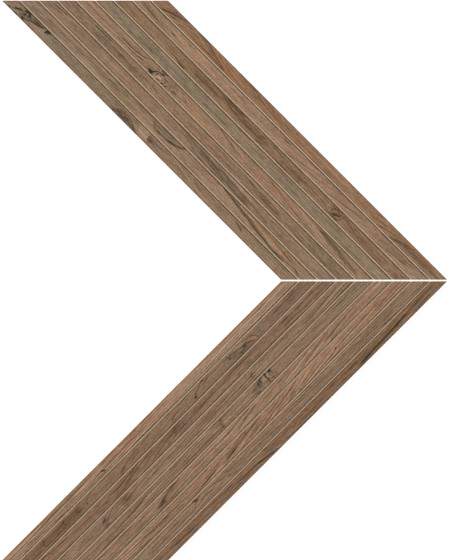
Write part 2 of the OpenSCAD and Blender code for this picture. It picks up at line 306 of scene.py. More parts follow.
FIGURE["upper", 5] = dict(
    rings=(2.8, 0.48), lean=[(55, 0), (118, 1), (150, 4), (240, 3), (291, -4), (380, -12), (450, -18)],
    dense=[(125, 215), (380, 450)],
    marks=[
        bend(164, 5, -2.4, 10, 4.5),
        line(DARK, 0.62, 0.5, (58, 5.2), (75, 5), (88.5, 5.2), (105, 5.8), (118, 5.9), (126, 6)),
        line(BLACK, 0.62, 0.5, (108, 5.8), (118, 5.9), (125, 6), (131, 6.2), (137, 7), (141, 8), (144, 9.3), (148, 11)),
        line(DARK, 0.4, 0.4, (96, 7.2), (116, 7.4), (132, 8.2), (138, 10)), line(DARK, 0.4, 0.4, (104, 3.6), (122, 3.4), (136, 4.2), (146, 6.4)),
        spot(DARK, 0.26, 140, 3.5, 14, 3.2), spot(GREY, 0.2, 150, 7, 7, 4), line(PALE, 0.4, 0.5, (134, 5.2), (141, 6.4), (146, 8.6)),
        spot(BLACK, 1.2, 155.4, 1.6, 2.4, 1.4), spot(BLACK, 0.9, 152.8, 2.9, 1.2, 0.9), spot(GREEN, 0.8, 156, 3.4, 5, 2.6),
        line(BLACK, 0.9, 0.5, (156.6, 2.6), (158.0, 4.6), (159.5, 6.6), (162.5, 7.7), (166, 8.3), (169, 8.4)), spot(BLACK, 0.9, 167.4, 8.5, 1.8, 0.8),
        line(BLACK, 0.8, 0.45, (161.2, 1.8), (161.4, 4.4), (162.6, 6.4)), line(BLACK, 0.8, 0.5, (163, 1.0), (166, 1.2), (168.6, 2.2)),
        spot(WARM, 0.2, 166, 4.6, 4.4, 2.1), spot(PALE, 0.7, 165.6, 4.0, 3.2, 1.5), spot(PALE, 0.6, 160.0, 3.0, 1.0, 1.4),
        line(BLACK, 0.6, 0.45, (170, 0.8), (172.6, 2.2), (174, 4.2), (172.6, 6.2), (169.4, 7.4)), spot(BLACK, 0.8, 171.4, 1.4, 1.3, 0.7),
        line(BLACK, 0.5, 0.4, (174, 0.8), (177.4, 2.8), (177.6, 5.2)), line(BLACK, 0.6, 0.45, (184, 2.4), (186.4, 1.8), (188.6, 3), (186.4, 4.2), (184, 3.4), (184, 2.4), taper=0),
        spot(BLACK, 0.7, 176.4, 2.2, 1.0, 0.8), spot(BLACK, 0.6, 181.0, 1.6, 1.1, 0.6), spot(BLACK, 0.6, 179.6, 4.6, 1.3, 0.6), spot(PALE, 0.5, 174.8, 3.2, 0.8, 1.4),
        line(DARK, 0.6, 0.4, (176, 7.8), (181, 7.0), (186, 7.4), (190, 6.0)), line(DARK, 0.5, 0.4, (170, 9.6), (178, 9.2), (186, 9.8)),
        spot(DARK, 0.7, 168, 11, 2.6, 0.8), spot(GREY, 0.25, 184, 6, 14, 4.6), line(BLACK, 0.7, 0.5, (162, 10.6), (167, 10.4), (172, 10.8)), spot(PALE, 0.3, 163, 3.6, 6, 3.4), spot(BLACK, 0.7, 159.4, 9.0, 1.6, 0.6), spot(BLACK, 0.6, 165.4, 6.4, 0.9, 0.6), spot(BLACK, 0.7, 169.6, 3.6, 0.7, 0.9), spot(BLACK, 0.6, 174.2, 6.8, 1.4, 0.5), spot(BLACK, 0.6, 180.4, 3.0, 0.6, 0.9), spot(BLACK, 0.5, 190, 2.2, 1.2, 0.5),
        spot(WARM, 0.3, 204, 5.5, 8, 4), line(DARK, 0.5, 0.4, (192, 10.4), (196, 7.4), (202, 4.8), (206, 2.0)),
        line(DARK, 0.4, 0.45, (203, 2.8), (207, 3.4), (209, 5.6), (206, 7.8), (200, 9.0)), line(DARK, 0.45, 0.4, (198, 8.0), (201, 6.0), (204.4, 5.2)),
        line(DARK, 0.5, 0.4, (209, 1.6), (213, 4), (213.4, 6.8), (209, 9.4)),
        line(DARK, 0.35, 0.45, (214, 6.4), (235, 7)), spot(WARM, 0.25, 232, 4, 20, 3),
        line(DARK, 0.6, 0.5, (243, 10.8), (253, 9.3), (263, 8), (272, 6.6), (281, 5.2), (291, 3.4)), line(PALE, 0.35, 0.7, (256, 10.4), (272, 8.2), (288, 5.6)),
        line(DARK, 0.55, 0.45, (314, 9.5), (329, 7.7), (343, 6), (361.6, 3.5), (379, 1.3)), line(DARK, 0.35, 0.4, (306, 7.6), (330, 4.6), (352, 2.0)),
        spot(WARM, 0.25, 330, 5, 34, 4.4),
        sheaf(GREEN, 0.4, 0.8, 1.7, 2, (384, 11), (392, 9.9), (400, 8.9), (415, 6.9), (431.6, 5.3), (452, 3.8)),
        sheaf(DARK, 0.75, 0.6, 1.9, 2, (386, 11), (392, 10), (400, 9), (415, 7), (431.6, 5.4), (450, 3.9)),
        line(DARK, 0.5, 0.4, (400, 11), (415, 9.2), (432, 7.6), (446, 6.6)), line(DARK, 0.35, 0.4, (392, 7.2), (410, 4.6), (430, 3)),
        line(PALE, 0.4, 0.5, (404, 7.0), (420, 4.8), (438, 3.4)),
    ],
)
FIGURE["upper", 6] = dict(
    rings=(3.0, 0.28), lean=[(68, 0), (460, -5)],
    dense=[(96, 150)],
    marks=[
        spot(GREEN, 0.3, 150, 5.6, 90, 6), spot(GREEN, 0.25, 380, 5.6, 90, 6),
        line(DARK, 0.62, 0.45, (97, 4.3), (107, 3.2), (114, 2.8), (129, 3), (136, 3.5), (144, 2.7), (149, 1.3)),
        line(GREY, 0.5, 0.6, (74, 4.6), (100, 4)), line(GREY, 0.55, 0.7, (149, 3.6), (176, 4.2), (205, 4)),
        line(DARK, 0.4, 0.5, (120, 5.0), (142, 4.6), (160, 4.2)), line(DARK, 0.35, 0.45, (166, 5.8), (190, 6.2)),
        line(DARK, 0.4, 0.6, (213, 3.4), (229, 3.7), (247, 3.6)), line(GREEN, 0.5, 0.9, (210, 3.6), (230, 3.8), (250, 3.6)),
        line(DARK, 0.45, 0.6, (258, 0.6), (270, 0.5)), line(DARK, 0.3, 0.5, (270, 6.2), (300, 6.6)),
        line(DARK, 0.3, 0.5, (320, 4.2), (350, 4)), line(DARK, 0.3, 0.5, (380, 7.4), (410, 7)), line(DARK, 0.3, 0.45, (300, 8.8), (340, 8.2)),
        line(DARK, 0.3, 0.5, (118, 8.2), (150, 8.6)), line(DARK, 0.25, 0.45, (400, 3.2), (440, 2.8)),
    ],
)
FIGURE["upper", 7] = dict(
    rings=(2.6, 0.48), lean=[(82, 0), (180, -3), (300, -9), (380, -13), (475, -19)],
    dense=[(228, 300), (365, 405)],
    marks=[
        bend(386, 6.2, -1.8, 8, 4),
        line(DARK, 1.0, 0.6, (160, 4.1), (165, 2.8), (170, 1.5), (178, 0.6)),
        line(DARK, 0.7, 0.45, (229, 8), (238, 6.2), (244.6, 5.3), (259.6, 4.8), (274.6, 4.4), (284, 4.8)),
        sheaf(DARK, 0.55, 0.4, 3.0, 3, (222, 9.8), (240, 8.4), (256, 7.4), (274, 7.0), (290, 6.4)),
        spot(DARK, 0.2, 262, 6, 26, 3.6), spot(DARK, 0.2, 205, 7, 22, 3.6), line(DARK, 0.4, 0.5, (186, 5), (205, 5.4), (226, 5)),
        spot(DARK, 0.45, 232, 10, 20, 1.0), spot(DARK, 0.7, 248, 9.6, 5.5, 0.7), spot(BLACK, 0.3, 250, 10.4, 3.5, 0.6), spot(WARM, 0.3, 230, 8, 20, 1.6),
        spot(DARK, 0.6, 281, 8, 4, 0.9, turn=12), spot(DARK, 0.5, 290, 6.2, 5, 0.9, turn=-15), spot(DARK, 0.45, 300, 8.2, 5, 0.8),
        spot(DARK, 0.5, 279, 1.8, 4, 0.7), spot(DARK, 0.5, 287, 3.8, 4, 0.7, turn=10), spot(DARK, 0.5, 310, 0.8, 11, 0.8), spot(DARK, 0.2, 320, 7, 20, 3),
        line(DARK, 0.65, 0.5, (308, 5.0), (325, 4.8), (340, 4.6), (347, 4.0), (350.5, 3.4), (356.5, 2.4), (364, 1.8)),
        line(DARK, 0.5, 0.4, (318, 6.6), (334, 6.3), (346, 5.6)),
        line(DARK, 0.5, 0.45, (340, 7.3), (352, 6.4), (364, 5.5)), line(DARK, 0.45, 0.4, (364, 5.4), (374, 4.2), (380, 3)),
        line(DARK, 0.65, 0.5, (381.4, 3.4), (380.8, 5.2), (381.6, 7.2), (383, 9.6)), line(DARK, 0.25, 0.45, (377.6, 4.0), (378.4, 7.0), (380.4, 9.8)),
        line(BLACK, 0.8, 0.5, (382.8, 3.2), (385.4, 3.6), (388.4, 4.4), (390.9, 6.6), (392.5, 8.6)),
        line(DARK, 0.8, 0.45, (383, 5.2), (386.4, 5.0), (388.8, 6.6)), line(DARK, 0.8, 0.5, (381.0, 2.2), (386, 1.3), (391.5, 1.8), (395.2, 4.2)),
        line(DARK, 0.6, 0.4, (392, 3.2), (394.6, 6.0), (396.4, 8.6)),
        spot(DARK, 0.16, 387, 6.6, 7, 5), spot(BLACK, 0.5, 381.6, 5.4, 0.8, 1.2), spot(BLACK, 0.5, 387, 4.0, 1.6, 0.6), spot(WARM, 0.8, 384.8, 6.8, 2.6, 2.0), spot(PALE, 0.4, 384.0, 6.0, 2.0, 1.6), spot(PALE, 0.5, 386.6, 7.6, 1.0, 0.8), spot(GREY, 0.6, 385, 9.4, 2.4, 1.2),
        spot(BLACK, 0.8, 383.4, 8.8, 0.9, 0.7), spot(BLACK, 0.9, 386.0, 9.9, 1.1, 0.6), spot(BLACK, 0.7, 388.8, 8.8, 1.0, 0.7), spot(BLACK, 0.6, 390.4, 10.6, 1.6, 0.5),
        spot(PALE, 0.6, 375.6, 6.4, 2.6, 3.2), spot(PALE, 0.5, 397.5, 5, 2.4, 2.6), line(DARK, 0.5, 0.5, (394, 9.6), (404, 8.2)),
        sheaf(DARK, 0.3, 0.4, 4.4, 3, (404, 6.8), (430, 5.4), (456, 4.0)), line(DARK, 0.3, 0.5, (430, 8.6), (462, 7.0)),
    ],
)
FIGURE["upper", 8] = dict(
    rings=(2.6, 0.42), lean=[(96, 0), (150, -4), (250, -4), (300, 2), (420, 18), (488, 27)],
    dense=[],
    marks=[
        sheaf(DARK, 0.55, 0.42, 3.2, 3, (98, 7.0), (106, 5.6), (114, 4.6), (124, 3.9), (136, 3.7), (150, 3.4)),
        line(DARK, 0.5, 0.45, (99, 6.1), (106, 5.0), (112, 4.1), (120, 3.4), (128, 3.1), (134, 3.2)), spot(DARK, 0.55, 145, 4.4, 3.0, 0.8), spot(DARK, 0.4, 133, 0.8, 9, 0.7),
        spot(GREY, 0.5, 105, 8.2, 6, 2), spot(GREEN, 0.35, 112, 8, 14, 3), line(PALE, 0.35, 0.5, (100, 8.0), (114, 6.4), (130, 5.6)),
        spot(WARM, 0.3, 175, 6, 24, 4), line(GREY, 0.6, 0.45, (188, 5.8), (193, 6), (199, 6)), line(GREY, 0.4, 0.45, (205, 3.4), (214, 3.4)),
        line(DARK, 0.35, 0.45, (162, 8.6), (180, 8.2)), line(DARK, 0.35, 0.45, (222, 7.2), (246, 7)),
        line(PALE, 0.4, 0.45, (186, 4.2), (206, 4.6)), line(PALE, 0.4, 0.45, (214, 5.8), (240, 5.6)), line(PALE, 0.35, 0.45, (196, 8.6), (226, 8.8)),
        line(GREY, 0.6, 0.6, (255, 4.3), (263, 4.7), (269, 5.6), (275, 7.2), (281, 8.3), (288, 8.9), (297, 9.4)), line(DARK, 0.4, 0.4, (270, 3.6), (282, 5.6), (294, 7.4)),
        spot(DARK, 0.45, 300.7, 8.9, 4.2, 0.7), spot(WARM, 0.5, 301, 8.5, 4.2, 1.2),
        line(DARK, 0.4, 0.45, (311, 1.2), (320, 3), (331, 4.8), (341, 6.4), (351, 7.7), (364, 10)), line(GREEN, 0.5, 0.7, (316, 2.4), (331, 5), (351, 7.9), (362, 9.8)),
        line(DARK, 0.4, 0.45, (363, 1.2), (376, 3), (392, 5.2), (405, 7.2), (420, 9.6)), line(GREEN, 0.5, 0.7, (366, 1.8), (392, 5.4), (412, 8.4)),
        line(DARK, 0.3, 0.4, (330, 2), (350, 4.4), (372, 7.6)), line(DARK, 0.3, 0.4, (396, 2), (416, 5.0), (436, 8.4)),
        spot(WARM, 0.2, 350, 4, 40, 4), spot(GREEN, 0.25, 464, 5.6, 28, 5.6),
        sheaf(DARK, 0.45, 0.42, 5.0, 4, (434, 2.2), (450, 4.4), (466, 6.4), (484, 9.2)),
    ],
)
FIGURE["upper", 9] = dict(
    rings=(2.7, 0.48), lean=[(110, 0), (150, 11), (166, 11), (208, 0), (290, -12), (400, -14), (420, -13), (458, -4), (505, 0)],
    dense=[(112, 210)],
    marks=[
        sheaf(DARK, 0.4, 0.45, 3.2, 3, (116, 0.8), (122, 2.6), (127, 4.2), (131.5, 5.8), (137, 7.4), (144, 9.2), (152, 10.8)),
        line(DARK, 0.2, 0.8, (118, 0.6), (124, 2.8), (130, 5.0), (136, 7.0), (142, 8.8)), spot(DARK, 0.16, 150, 8.4, 20, 2.4), spot(GREY, 0.4, 134, 4, 8, 2.4),
        line(DARK, 0.45, 0.4, (130, 2.2), (138, 4.4), (146, 6.4), (156, 8.4)), line(DARK, 0.45, 0.4, (140, 1.6), (148, 3.8), (158, 5.6), (170, 7.2)),
        line(DARK, 0.7, 0.5, (160, 1.4), (175, 2.0), (188, 2.2), (200, 1.6), (208, 0.9)), line(DARK, 0.4, 0.4, (146, 1.6), (162, 3.4), (176, 3.8)), spot(DARK, 0.5, 171, 10.6, 8, 0.8),
        line(DARK, 0.75, 0.45, (166, 11), (173, 10.2), (179, 9.3), (184, 7.3), (190, 5.4), (195.7, 3.9), (201, 2.6), (208, 0.9)),
        line(DARK, 0.55, 0.4, (170, 8.6), (178, 7), (184, 5), (190, 3)), line(DARK, 0.4, 0.4, (190, 9.6), (198, 7.2), (206, 5.2), (216, 2.8)),
        spot(WARM, 0.5, 214, 6, 24, 4.4), line(PALE, 0.45, 0.5, (184, 9.8), (194, 7.0), (204, 4.6), (214, 2.4)),
        spot(DARK, 0.45, 239, 10, 8, 0.8), line(DARK, 0.65, 0.45, (236, 10.2), (246, 8.8), (252.7, 7.2), (262.7, 5.6), (272, 4.6), (286, 3.7)), line(DARK, 0.4, 0.4, (252, 9.8), (266, 8.0), (282, 6.6), (300, 6.0)),
        line(DARK, 0.4, 0.4, (222, 7.8), (236, 6.0), (252, 3.8)), spot(WARM, 0.4, 270, 7, 6, 2.2), line(DARK, 0.35, 0.4, (290, 4.6), (330, 3.8)), line(DARK, 0.3, 0.4, (300, 8), (340, 7.4)),
        spot(WARM, 0.5, 410, 10.2, 90, 1.4), line(DARK, 0.35, 0.4, (345, 3.6), (375, 3.2)),
        line(DARK, 0.4, 0.45, (418, 4.4), (424, 5.2), (432, 6.2)), line(DARK, 0.5, 0.45, (424, 1.4), (430, 3.0), (436, 4.6)), line(DARK, 0.35, 0.5, (440, 1.2), (447, 2.8), (455, 4.7)),
        spot(GREEN, 0.35, 468, 5, 30, 5, p=4), spot(DARK, 0.08, 466, 4.5, 26, 4),
        sheaf(DARK, 0.5, 0.4, 4.2, 4, (444, 3.4), (456, 5.0), (470, 5.8), (486, 5.8), (504, 5.2)),
        line(WARM, 0.7, 0.5, (444, 8.4), (462, 8.6), (484, 8.0), (500, 7.4)), line(PALE, 0.45, 0.4, (452, 3), (470, 4.2), (488, 4.0), (502, 3.4)),
    ],
)
FIGURE["lower", 1] = dict(
    rings=(2.3, 1.20), lean=[(0, 0), (60, 0), (150, 4), (390, 4)],
    dense=[(240, 270)],
    marks=[
        bend(95, 5, 0.8, 60, 6),
        spot(PALE, 0.2, 90, 5, 50, 5), spot(GREY, 0.9, 120.7, 8.3, 1.4, 0.8), spot(DARK, 0.6, 120.5, 8.0, 1.0, 0.7), spot(DARK, 0.5, 197, 0.4, 4.5, 0.7),
        line(PALE, 0.4, 0.4, (2, 5.4), (40, 5.8), (80, 6.8), (112, 8.6)), line(PALE, 0.35, 0.4, (60, 3.6), (90, 4.4), (124, 6.4)),
        spot(WARM, 0.35, 220, 6, 60, 5), line(DARK, 0.6, 0.45, (205, 1.9), (221, 2.1), (234, 2.2)), line(DARK, 0.6, 0.45, (236, 0.8), (246, 1.6), (256, 2.7)),
        line(DARK, 0.9, 0.6, (262, 6.6), (260.4, 7.6), (258.6, 8.6), (257.0, 9.8)), spot(DARK, 0.6, 259.4, 8.0, 1.8, 1.0, turn=-35),
        line(DARK, 0.45, 0.4, (200, 5), (225, 5.6), (262, 6.0)), line(PALE, 0.4, 0.45, (188, 9.8), (214, 9.6), (240, 9.9)), line(DARK, 0.45, 0.45, (266, 3), (300, 3.4), (330, 3.2)),
        line(DARK, 0.6, 0.5, (316, 4), (330, 3.8), (345, 4.2)), line(DARK, 0.45, 0.45, (290, 7), (330, 7.4), (375, 7)), line(PALE, 0.35, 0.45, (340, 6.0), (384, 5.8)),
        line(DARK, 0.4, 0.45, (340, 9.2), (385, 9)),
    ],
)
FIGURE["lower", 2] = dict(
    rings=(2.6, 0.50), lean=[(-20, 0), (120, 0), (180, 6), (250, 14), (380, 14)],
    dense=[(44, 182)],
    marks=[
        bend(74, 7, -2.4, 12, 5),
        spot(DARK, 0.2, 8, 5, 30, 5.6), line(DARK, 0.3, 0.5, (-12, 3.6), (12, 4), (30, 4.4)), line(DARK, 0.3, 0.5, (-14, 7.4), (10, 8), (30, 8.4)),
        spot(GREY, 0.4, 49, 6, 2.6, 6), spot(GREY, 0.5, 52, 5, 4, 4.4), line(GREEN, 0.4, 0.8, (50, 1.0), (49.4, 5), (50.4, 9)), spot(WARM, 0.3, 61, 6, 6, 4), spot(PALE, 0.25, 60, 7, 5, 4),
        line(PALE, 0.4, 0.6, (56.6, 11.2), (57.6, 8.4), (59.8, 6.4), (63.4, 4.8), (68, 3.8), (73, 3.6), (79, 4.8)),
        line(DARK, 0.6, 0.45, (54.4, 11), (55.6, 7.8), (57.6, 5.4), (61, 3.6), (66, 2.4), (73, 2.0)),
        line(DARK, 0.6, 0.45, (60.4, 11), (61.6, 8.6), (64.6, 6.6), (68, 5.6), (72, 5.8), (76, 7.0)),
        line(DARK, 0.5, 0.5, (65, 8.0), (67.4, 6.6), (70, 6.2), (72, 7.2), (73, 8.6)), spot(BLACK, 0.8, 71, 6.8, 1.1, 0.8), spot(DARK, 0.25, 72, 8.6, 8, 2.6),
        spot(GREEN, 1.0, 77.6, 9.3, 2.0, 1.0), spot(BLACK, 0.6, 74.4, 8.8, 0.9, 0.7), spot(BLACK, 0.6, 78.4, 8.6, 0.8, 0.6), spot(BLACK, 0.5, 77, 10.4, 1.2, 0.5),
        line(GREEN, 0.8, 0.8, (87, 2.4), (89.6, 4.0), (91.2, 5.8)), spot(BLACK, 0.7, 91, 5.4, 1.0, 0.7), spot(BLACK, 0.6, 92.2, 3.6, 0.7, 0.9), spot(BLACK, 0.4, 88, 2.6, 0.9, 0.5),
        spot(GREY, 0.5, 84, 6.6, 14, 4.4), line(DARK, 0.45, 0.4, (76, 3.6), (84, 5.4), (88, 8.0), (89, 10.6)), line(DARK, 0.4, 0.4, (80, 2.0), (90, 1.8), (100, 3.2)),
        spot(BLACK, 1.0, 126.3, 0.9, 1.7, 0.8), line(DARK, 0.6, 0.45, (127, 1.2), (131, 2.2), (134.7, 4), (139.7, 6), (143, 8.4)), spot(DARK, 0.5, 139.5, 6.2, 1.6, 0.7, turn=40),
        spot(BLACK, 1.0, 142.6, 8.4, 1.2, 0.9), line(PALE, 0.35, 0.5, (129, 3.4), (134, 5.4), (140, 8)), line(DARK, 0.4, 0.4, (118, 2), (124, 4.4), (130, 7), (134, 10)),
        line(DARK, 0.4, 0.4, (146, 2), (152, 4.6), (156, 8)), line(DARK, 0.5, 0.45, (159, 5.4), (166, 6), (173, 7.3), (176.6, 10.6)),
        line(DARK, 0.6, 0.45, (196, 1.9), (206, 2.2), (213, 2.8), (226, 3.9), (236, 5.6), (244, 8), (249, 10.4)), spot(DARK, 0.4, 246, 8.8, 4.6, 1.6, turn=35),
        line(DARK, 0.4, 0.4, (214, 5.4), (228, 7.2), (238, 9.8)), spot(WARM, 0.25, 240, 6, 40, 4),
        line(DARK, 0.6, 0.45, (282, 0.8), (288, 2.2), (292, 4), (294, 6.5), (293.4, 9.4)), spot(GREY, 0.7, 293.8, 6.8, 1.6, 1.4), line(PALE, 0.35, 0.5, (290, 5), (291.6, 8), (290, 10.4)),
        spot(DARK, 0.16, 334, 6, 38, 5.6, p=4), spot(WARM, 0.5, 334, 6, 38, 5.6, p=4), spot(DARK, 0.3, 306, 6.8, 4, 3.6, turn=40), sheaf(DARK, 0.4, 0.4, 6.5, 5, (298, 5.2), (316, 5.8), (336, 5.4), (358, 5.8), (376, 5.6)), line(DARK, 0.4, 0.5, (322, 1), (325, 4), (323, 8)), line(DARK, 0.3, 0.5, (351, 3), (354, 6), (352, 10)),
        line(DARK, 0.35, 0.45, (300, 3), (330, 3.4), (364, 3)), line(DARK, 0.35, 0.45, (316, 8.6), (345, 8.4), (374, 8.8)),
    ],
)
FIGURE["lower", 3] = dict(
    rings=(2.9, 1.05), lean=[(-35, 0), (60, -2), (110, -3), (165, -1), (260, 9), (370, 6)],
    dense=[(160, 200)],
    marks=[
        bend(205, 5, 1.2, 40, 6),
        line(DARK, 0.5, 0.8, (-27, 3.1), (-20, 2.7), (-15, 2.7), (-5, 3.1), (6, 3.5), (20, 3.2), (34, 2.4)),
        line(DARK, 0.4, 0.5, (-22, 7), (10, 7.4), (32, 7)), spot(GREY, 0.5, 84, 3.4, 18, 1.4), spot(GREY, 0.5, 134, 4.2, 26, 1.5),
        line(DARK, 0.5, 0.6, (66, 3.4), (84, 3.2), (104, 3.4), (120, 4.2), (150, 4.6), (172, 5.2)), line(PALE, 0.45, 0.6, (50, 7.4), (66, 6.2), (84, 4.9), (106, 4.7), (134, 5.8)),
        line(DARK, 0.45, 0.5, (60, 8.6), (100, 8.8)), line(PALE, 0.45, 0.5, (96, 8.4), (116, 7.4), (140, 7.6)),
        spot(DARK, 0.55, 180, 1.6, 11, 1.4, turn=7), spot(DARK, 0.55, 178, 5.5, 7, 1.0), spot(GREY, 0.3, 180, 3.6, 12, 2.4),
        line(DARK, 0.55, 0.45, (168, 2.6), (186, 4.4), (206, 7), (220, 9.6)), line(DARK, 0.6, 0.45, (184, 1), (204, 3.4), (224, 6.4), (244, 9.4)),
        line(DARK, 0.5, 0.45, (206, 1), (226, 3.2), (244, 6), (258, 8)), line(DARK, 0.45, 0.45, (164, 6.6), (180, 8), (196, 10.4)), line(DARK, 0.4, 0.45, (228, 1.2), (250, 3.4), (270, 5.4)),
        line(PALE, 0.4, 0.45, (196, 1.2), (216, 4.2), (236, 7.4)), spot(WARM, 0.5, 260, 4.3, 10, 1.2), spot(WARM, 0.45, 315, 9, 12, 1.2), spot(DARK, 0.6, 257, 9.6, 12, 0.9),
        line(DARK, 0.35, 0.45, (270, 6.6), (300, 5.8), (332, 4.6)), line(DARK, 0.35, 0.45, (280, 9.4), (304, 8.0), (336, 6.8)), spot(WARM, 0.35, 350, 6, 14, 5), line(DARK, 0.4, 0.5, (330, 3.4), (362, 3.6)),
    ],
)
FIGURE["lower", 4] = dict(
    rings=(2.4, 1.00), lean=[(-45, 0), (0, 2), (60, 1), (240, 3), (290, 7), (360, 8)],
    dense=[(250, 305)],
    marks=[
        line(GREEN, 0.6, 0.6, (-40, 2.2), (-30, 3.6), (-20, 4.6), (-6, 4.6), (16, 3.9)), line(DARK, 0.35, 0.45, (-36, 2.9), (-24, 4.3), (-8, 4.7)),
        spot(DARK, 0.36, 87.5, 7.2, 4.6, 3.0), spot(GREY, 0.4, 88.5, 8.5, 6.5, 1.8), line(DARK, 0.5, 0.45, (84, 2.6), (87, 5), (88, 9)), spot(DARK, 0.36, 147, 5, 9, 2.6), spot(WARM, 0.3, 147, 5, 9, 3),
        line(DARK, 0.4, 0.45, (20, 7.4), (60, 7.2)), line(DARK, 0.4, 0.45, (30, 2.6), (76, 2.8)), line(DARK, 0.4, 0.45, (160, 8), (215, 8.2)), line(DARK, 0.35, 0.45, (96, 5.6), (130, 7.2), (156, 8.6)),
        line(DARK, 0.4, 0.45, (105, 3), (135, 3.4)), line(DARK, 0.4, 0.45, (175, 4.4), (230, 4.2)), line(DARK, 0.4, 0.4, (180, 6.2), (226, 6.6), (250, 8)),
        spot(DARK, 0.42, 264, 3.2, 6.4, 3.4), spot(DARK, 0.3, 262, 7.4, 5, 2.4), line(WARM, 0.3, 0.5, (268, 4.4), (278, 4.8), (288, 5.6)), line(WARM, 0.3, 0.5, (268, 8), (288, 8.2)),
        line(DARK, 0.5, 0.5, (268, 1.2), (277, 1.6), (283, 2.8), (288, 5.0), (292, 7.2)), line(DARK, 0.5, 0.6, (283, 0.6), (289, 2.0), (294, 4.2), (297.6, 6.4), (298.6, 9.6)),
        line(PALE, 0.25, 0.5, (280, 2.6), (286, 4.6), (289.6, 7.4)), line(DARK, 0.35, 0.45, (266, 6), (278, 6.4), (290, 7.6)), line(DARK, 0.5, 0.45, (262, 9.4), (276, 9.2), (288, 9.8)),
        spot(DARK, 0.55, 294, 5.4, 2.8, 3.0, turn=25), spot(DARK, 0.6, 295, 9.4, 3.0, 1.8), spot(BLACK, 0.4, 292.5, 3.4, 1.4, 1.4, turn=30),
        spot(GREY, 0.35, 301, 6, 5, 4), line(DARK, 0.45, 0.45, (300, 2.4), (312, 4.0), (335, 4.6)), line(DARK, 0.45, 0.45, (300, 8.2), (335, 8)),
    ],
)
FIGURE["lower", 5] = dict(
    rings=(2.4, 1.00), lean=[(-55, 0), (60, -4), (330, -3)],
    dense=[(60, 150)],
    marks=[
        bend(80, 5.5, 1.5, 9, 5),
        line(DARK, 0.5, 0.45, (-16, 10.2), (8, 9.7), (30, 9.2), (58, 8.8)), line(WARM, 0.5, 0.5, (-5, 9.2), (21, 8.8)), line(DARK, 0.4, 0.45, (-40, 4), (0, 4.4), (40, 4)),
        spot(GREEN, 0.4, -40, 5, 18, 5), spot(GREEN, 0.45, 80, 5, 9, 6, p=3), spot(GREY, 0.55, 90, 5, 8, 5, p=4), spot(GREEN, 0.25, 90, 6, 8, 5),
        spot(BLACK, 1.1, 71.6, 1.6, 1.5, 1.5), spot(BLACK, 0.6, 70.4, 5, 0.9, 1.8), line(DARK, 0.6, 0.45, (66, 3), (68, 6), (67.4, 9.4)), spot(BLACK, 0.5, 73.6, 4.0, 0.8, 1.0),
        line(BLACK, 0.9, 0.5, (77.9, 1.4), (78.3, 4), (77.6, 6.4), (78.4, 9), (78, 11.4), taper=0.03), spot(BLACK, 0.9, 77.2, 1.2, 1.2, 1.2),
        line(PALE, 1.1, 0.6, (75.8, 1.6), (75.6, 4), (75.9, 7)), line(WARM, 1.0, 0.5, (76.4, 5), (76.0, 8), (76.6, 11)), line(WARM, 0.9, 0.6, (82.2, 2.8), (82.4, 6), (81.8, 9.6)),
        line(PALE, 1.1, 0.7, (80.2, 1.2), (80.6, 3.6), (80.2, 6.4)), line(PALE, 0.6, 0.5, (83.6, 7.4), (84.2, 9.4), (83.4, 11)), line(PALE, 0.8, 0.5, (73.8, 6.6), (74.4, 9), (74.0, 11)), spot(PALE, 0.7, 82.6, 5.4, 1.6, 3.0), spot(WARM, 0.7, 80.0, 7.6, 1.3, 2.6), spot(PALE, 0.6, 86.6, 7.2, 1.2, 1.8), spot(PALE, 0.5, 76.2, 3.6, 0.9, 2.4),
        line(BLACK, 0.9, 0.5, (84.4, 0.6), (85.4, 2.6), (84.8, 5.2)), spot(BLACK, 0.8, 82.6, 0.8, 1.3, 0.8), spot(DARK, 0.6, 86.8, 3.6, 2.0, 2.6), spot(GREEN, 0.5, 89, 4.4, 2.6, 3.4),
        line(BLACK, 0.7, 0.45, (88.2, 1.4), (89.4, 3.6), (88.6, 6.8)), spot(BLACK, 0.5, 91.4, 5.2, 0.8, 1.0), spot(DARK, 0.5, 95, 6.0, 2.0, 2.4), spot(PALE, 0.4, 92.4, 8.0, 1.4, 1.0), spot(DARK, 0.6, 93.5, 10, 2.2, 0.9),
        spot(BLACK, 0.6, 72.8, 9.4, 1.4, 1.0), line(DARK, 0.5, 0.4, (62, 4.6), (66, 6.6), (66.4, 9.6)), line(DARK, 0.5, 0.4, (97, 3.2), (98.4, 6.4), (97, 9.4)),
        spot(DARK, 0.7, 141.6, 3, 2.0, 1.1), spot(DARK, 0.7, 143, 8.6, 1.4, 2.0), line(DARK, 0.6, 0.45, (140.4, 1.2), (143.4, 4.6), (142.8, 7.4)), spot(PALE, 0.2, 137, 7.5, 2.4, 1.8), spot(DARK, 0.3, 147, 5, 4, 3),
        line(DARK, 0.35, 0.45, (150, 2.6), (200, 3), (260, 2.6), (325, 3)), line(DARK, 0.35, 0.45, (155, 6), (210, 6.2), (270, 6), (330, 6.4)),
        line(DARK, 0.35, 0.45, (160, 8.8), (220, 9), (300, 8.8)),
    ],
)
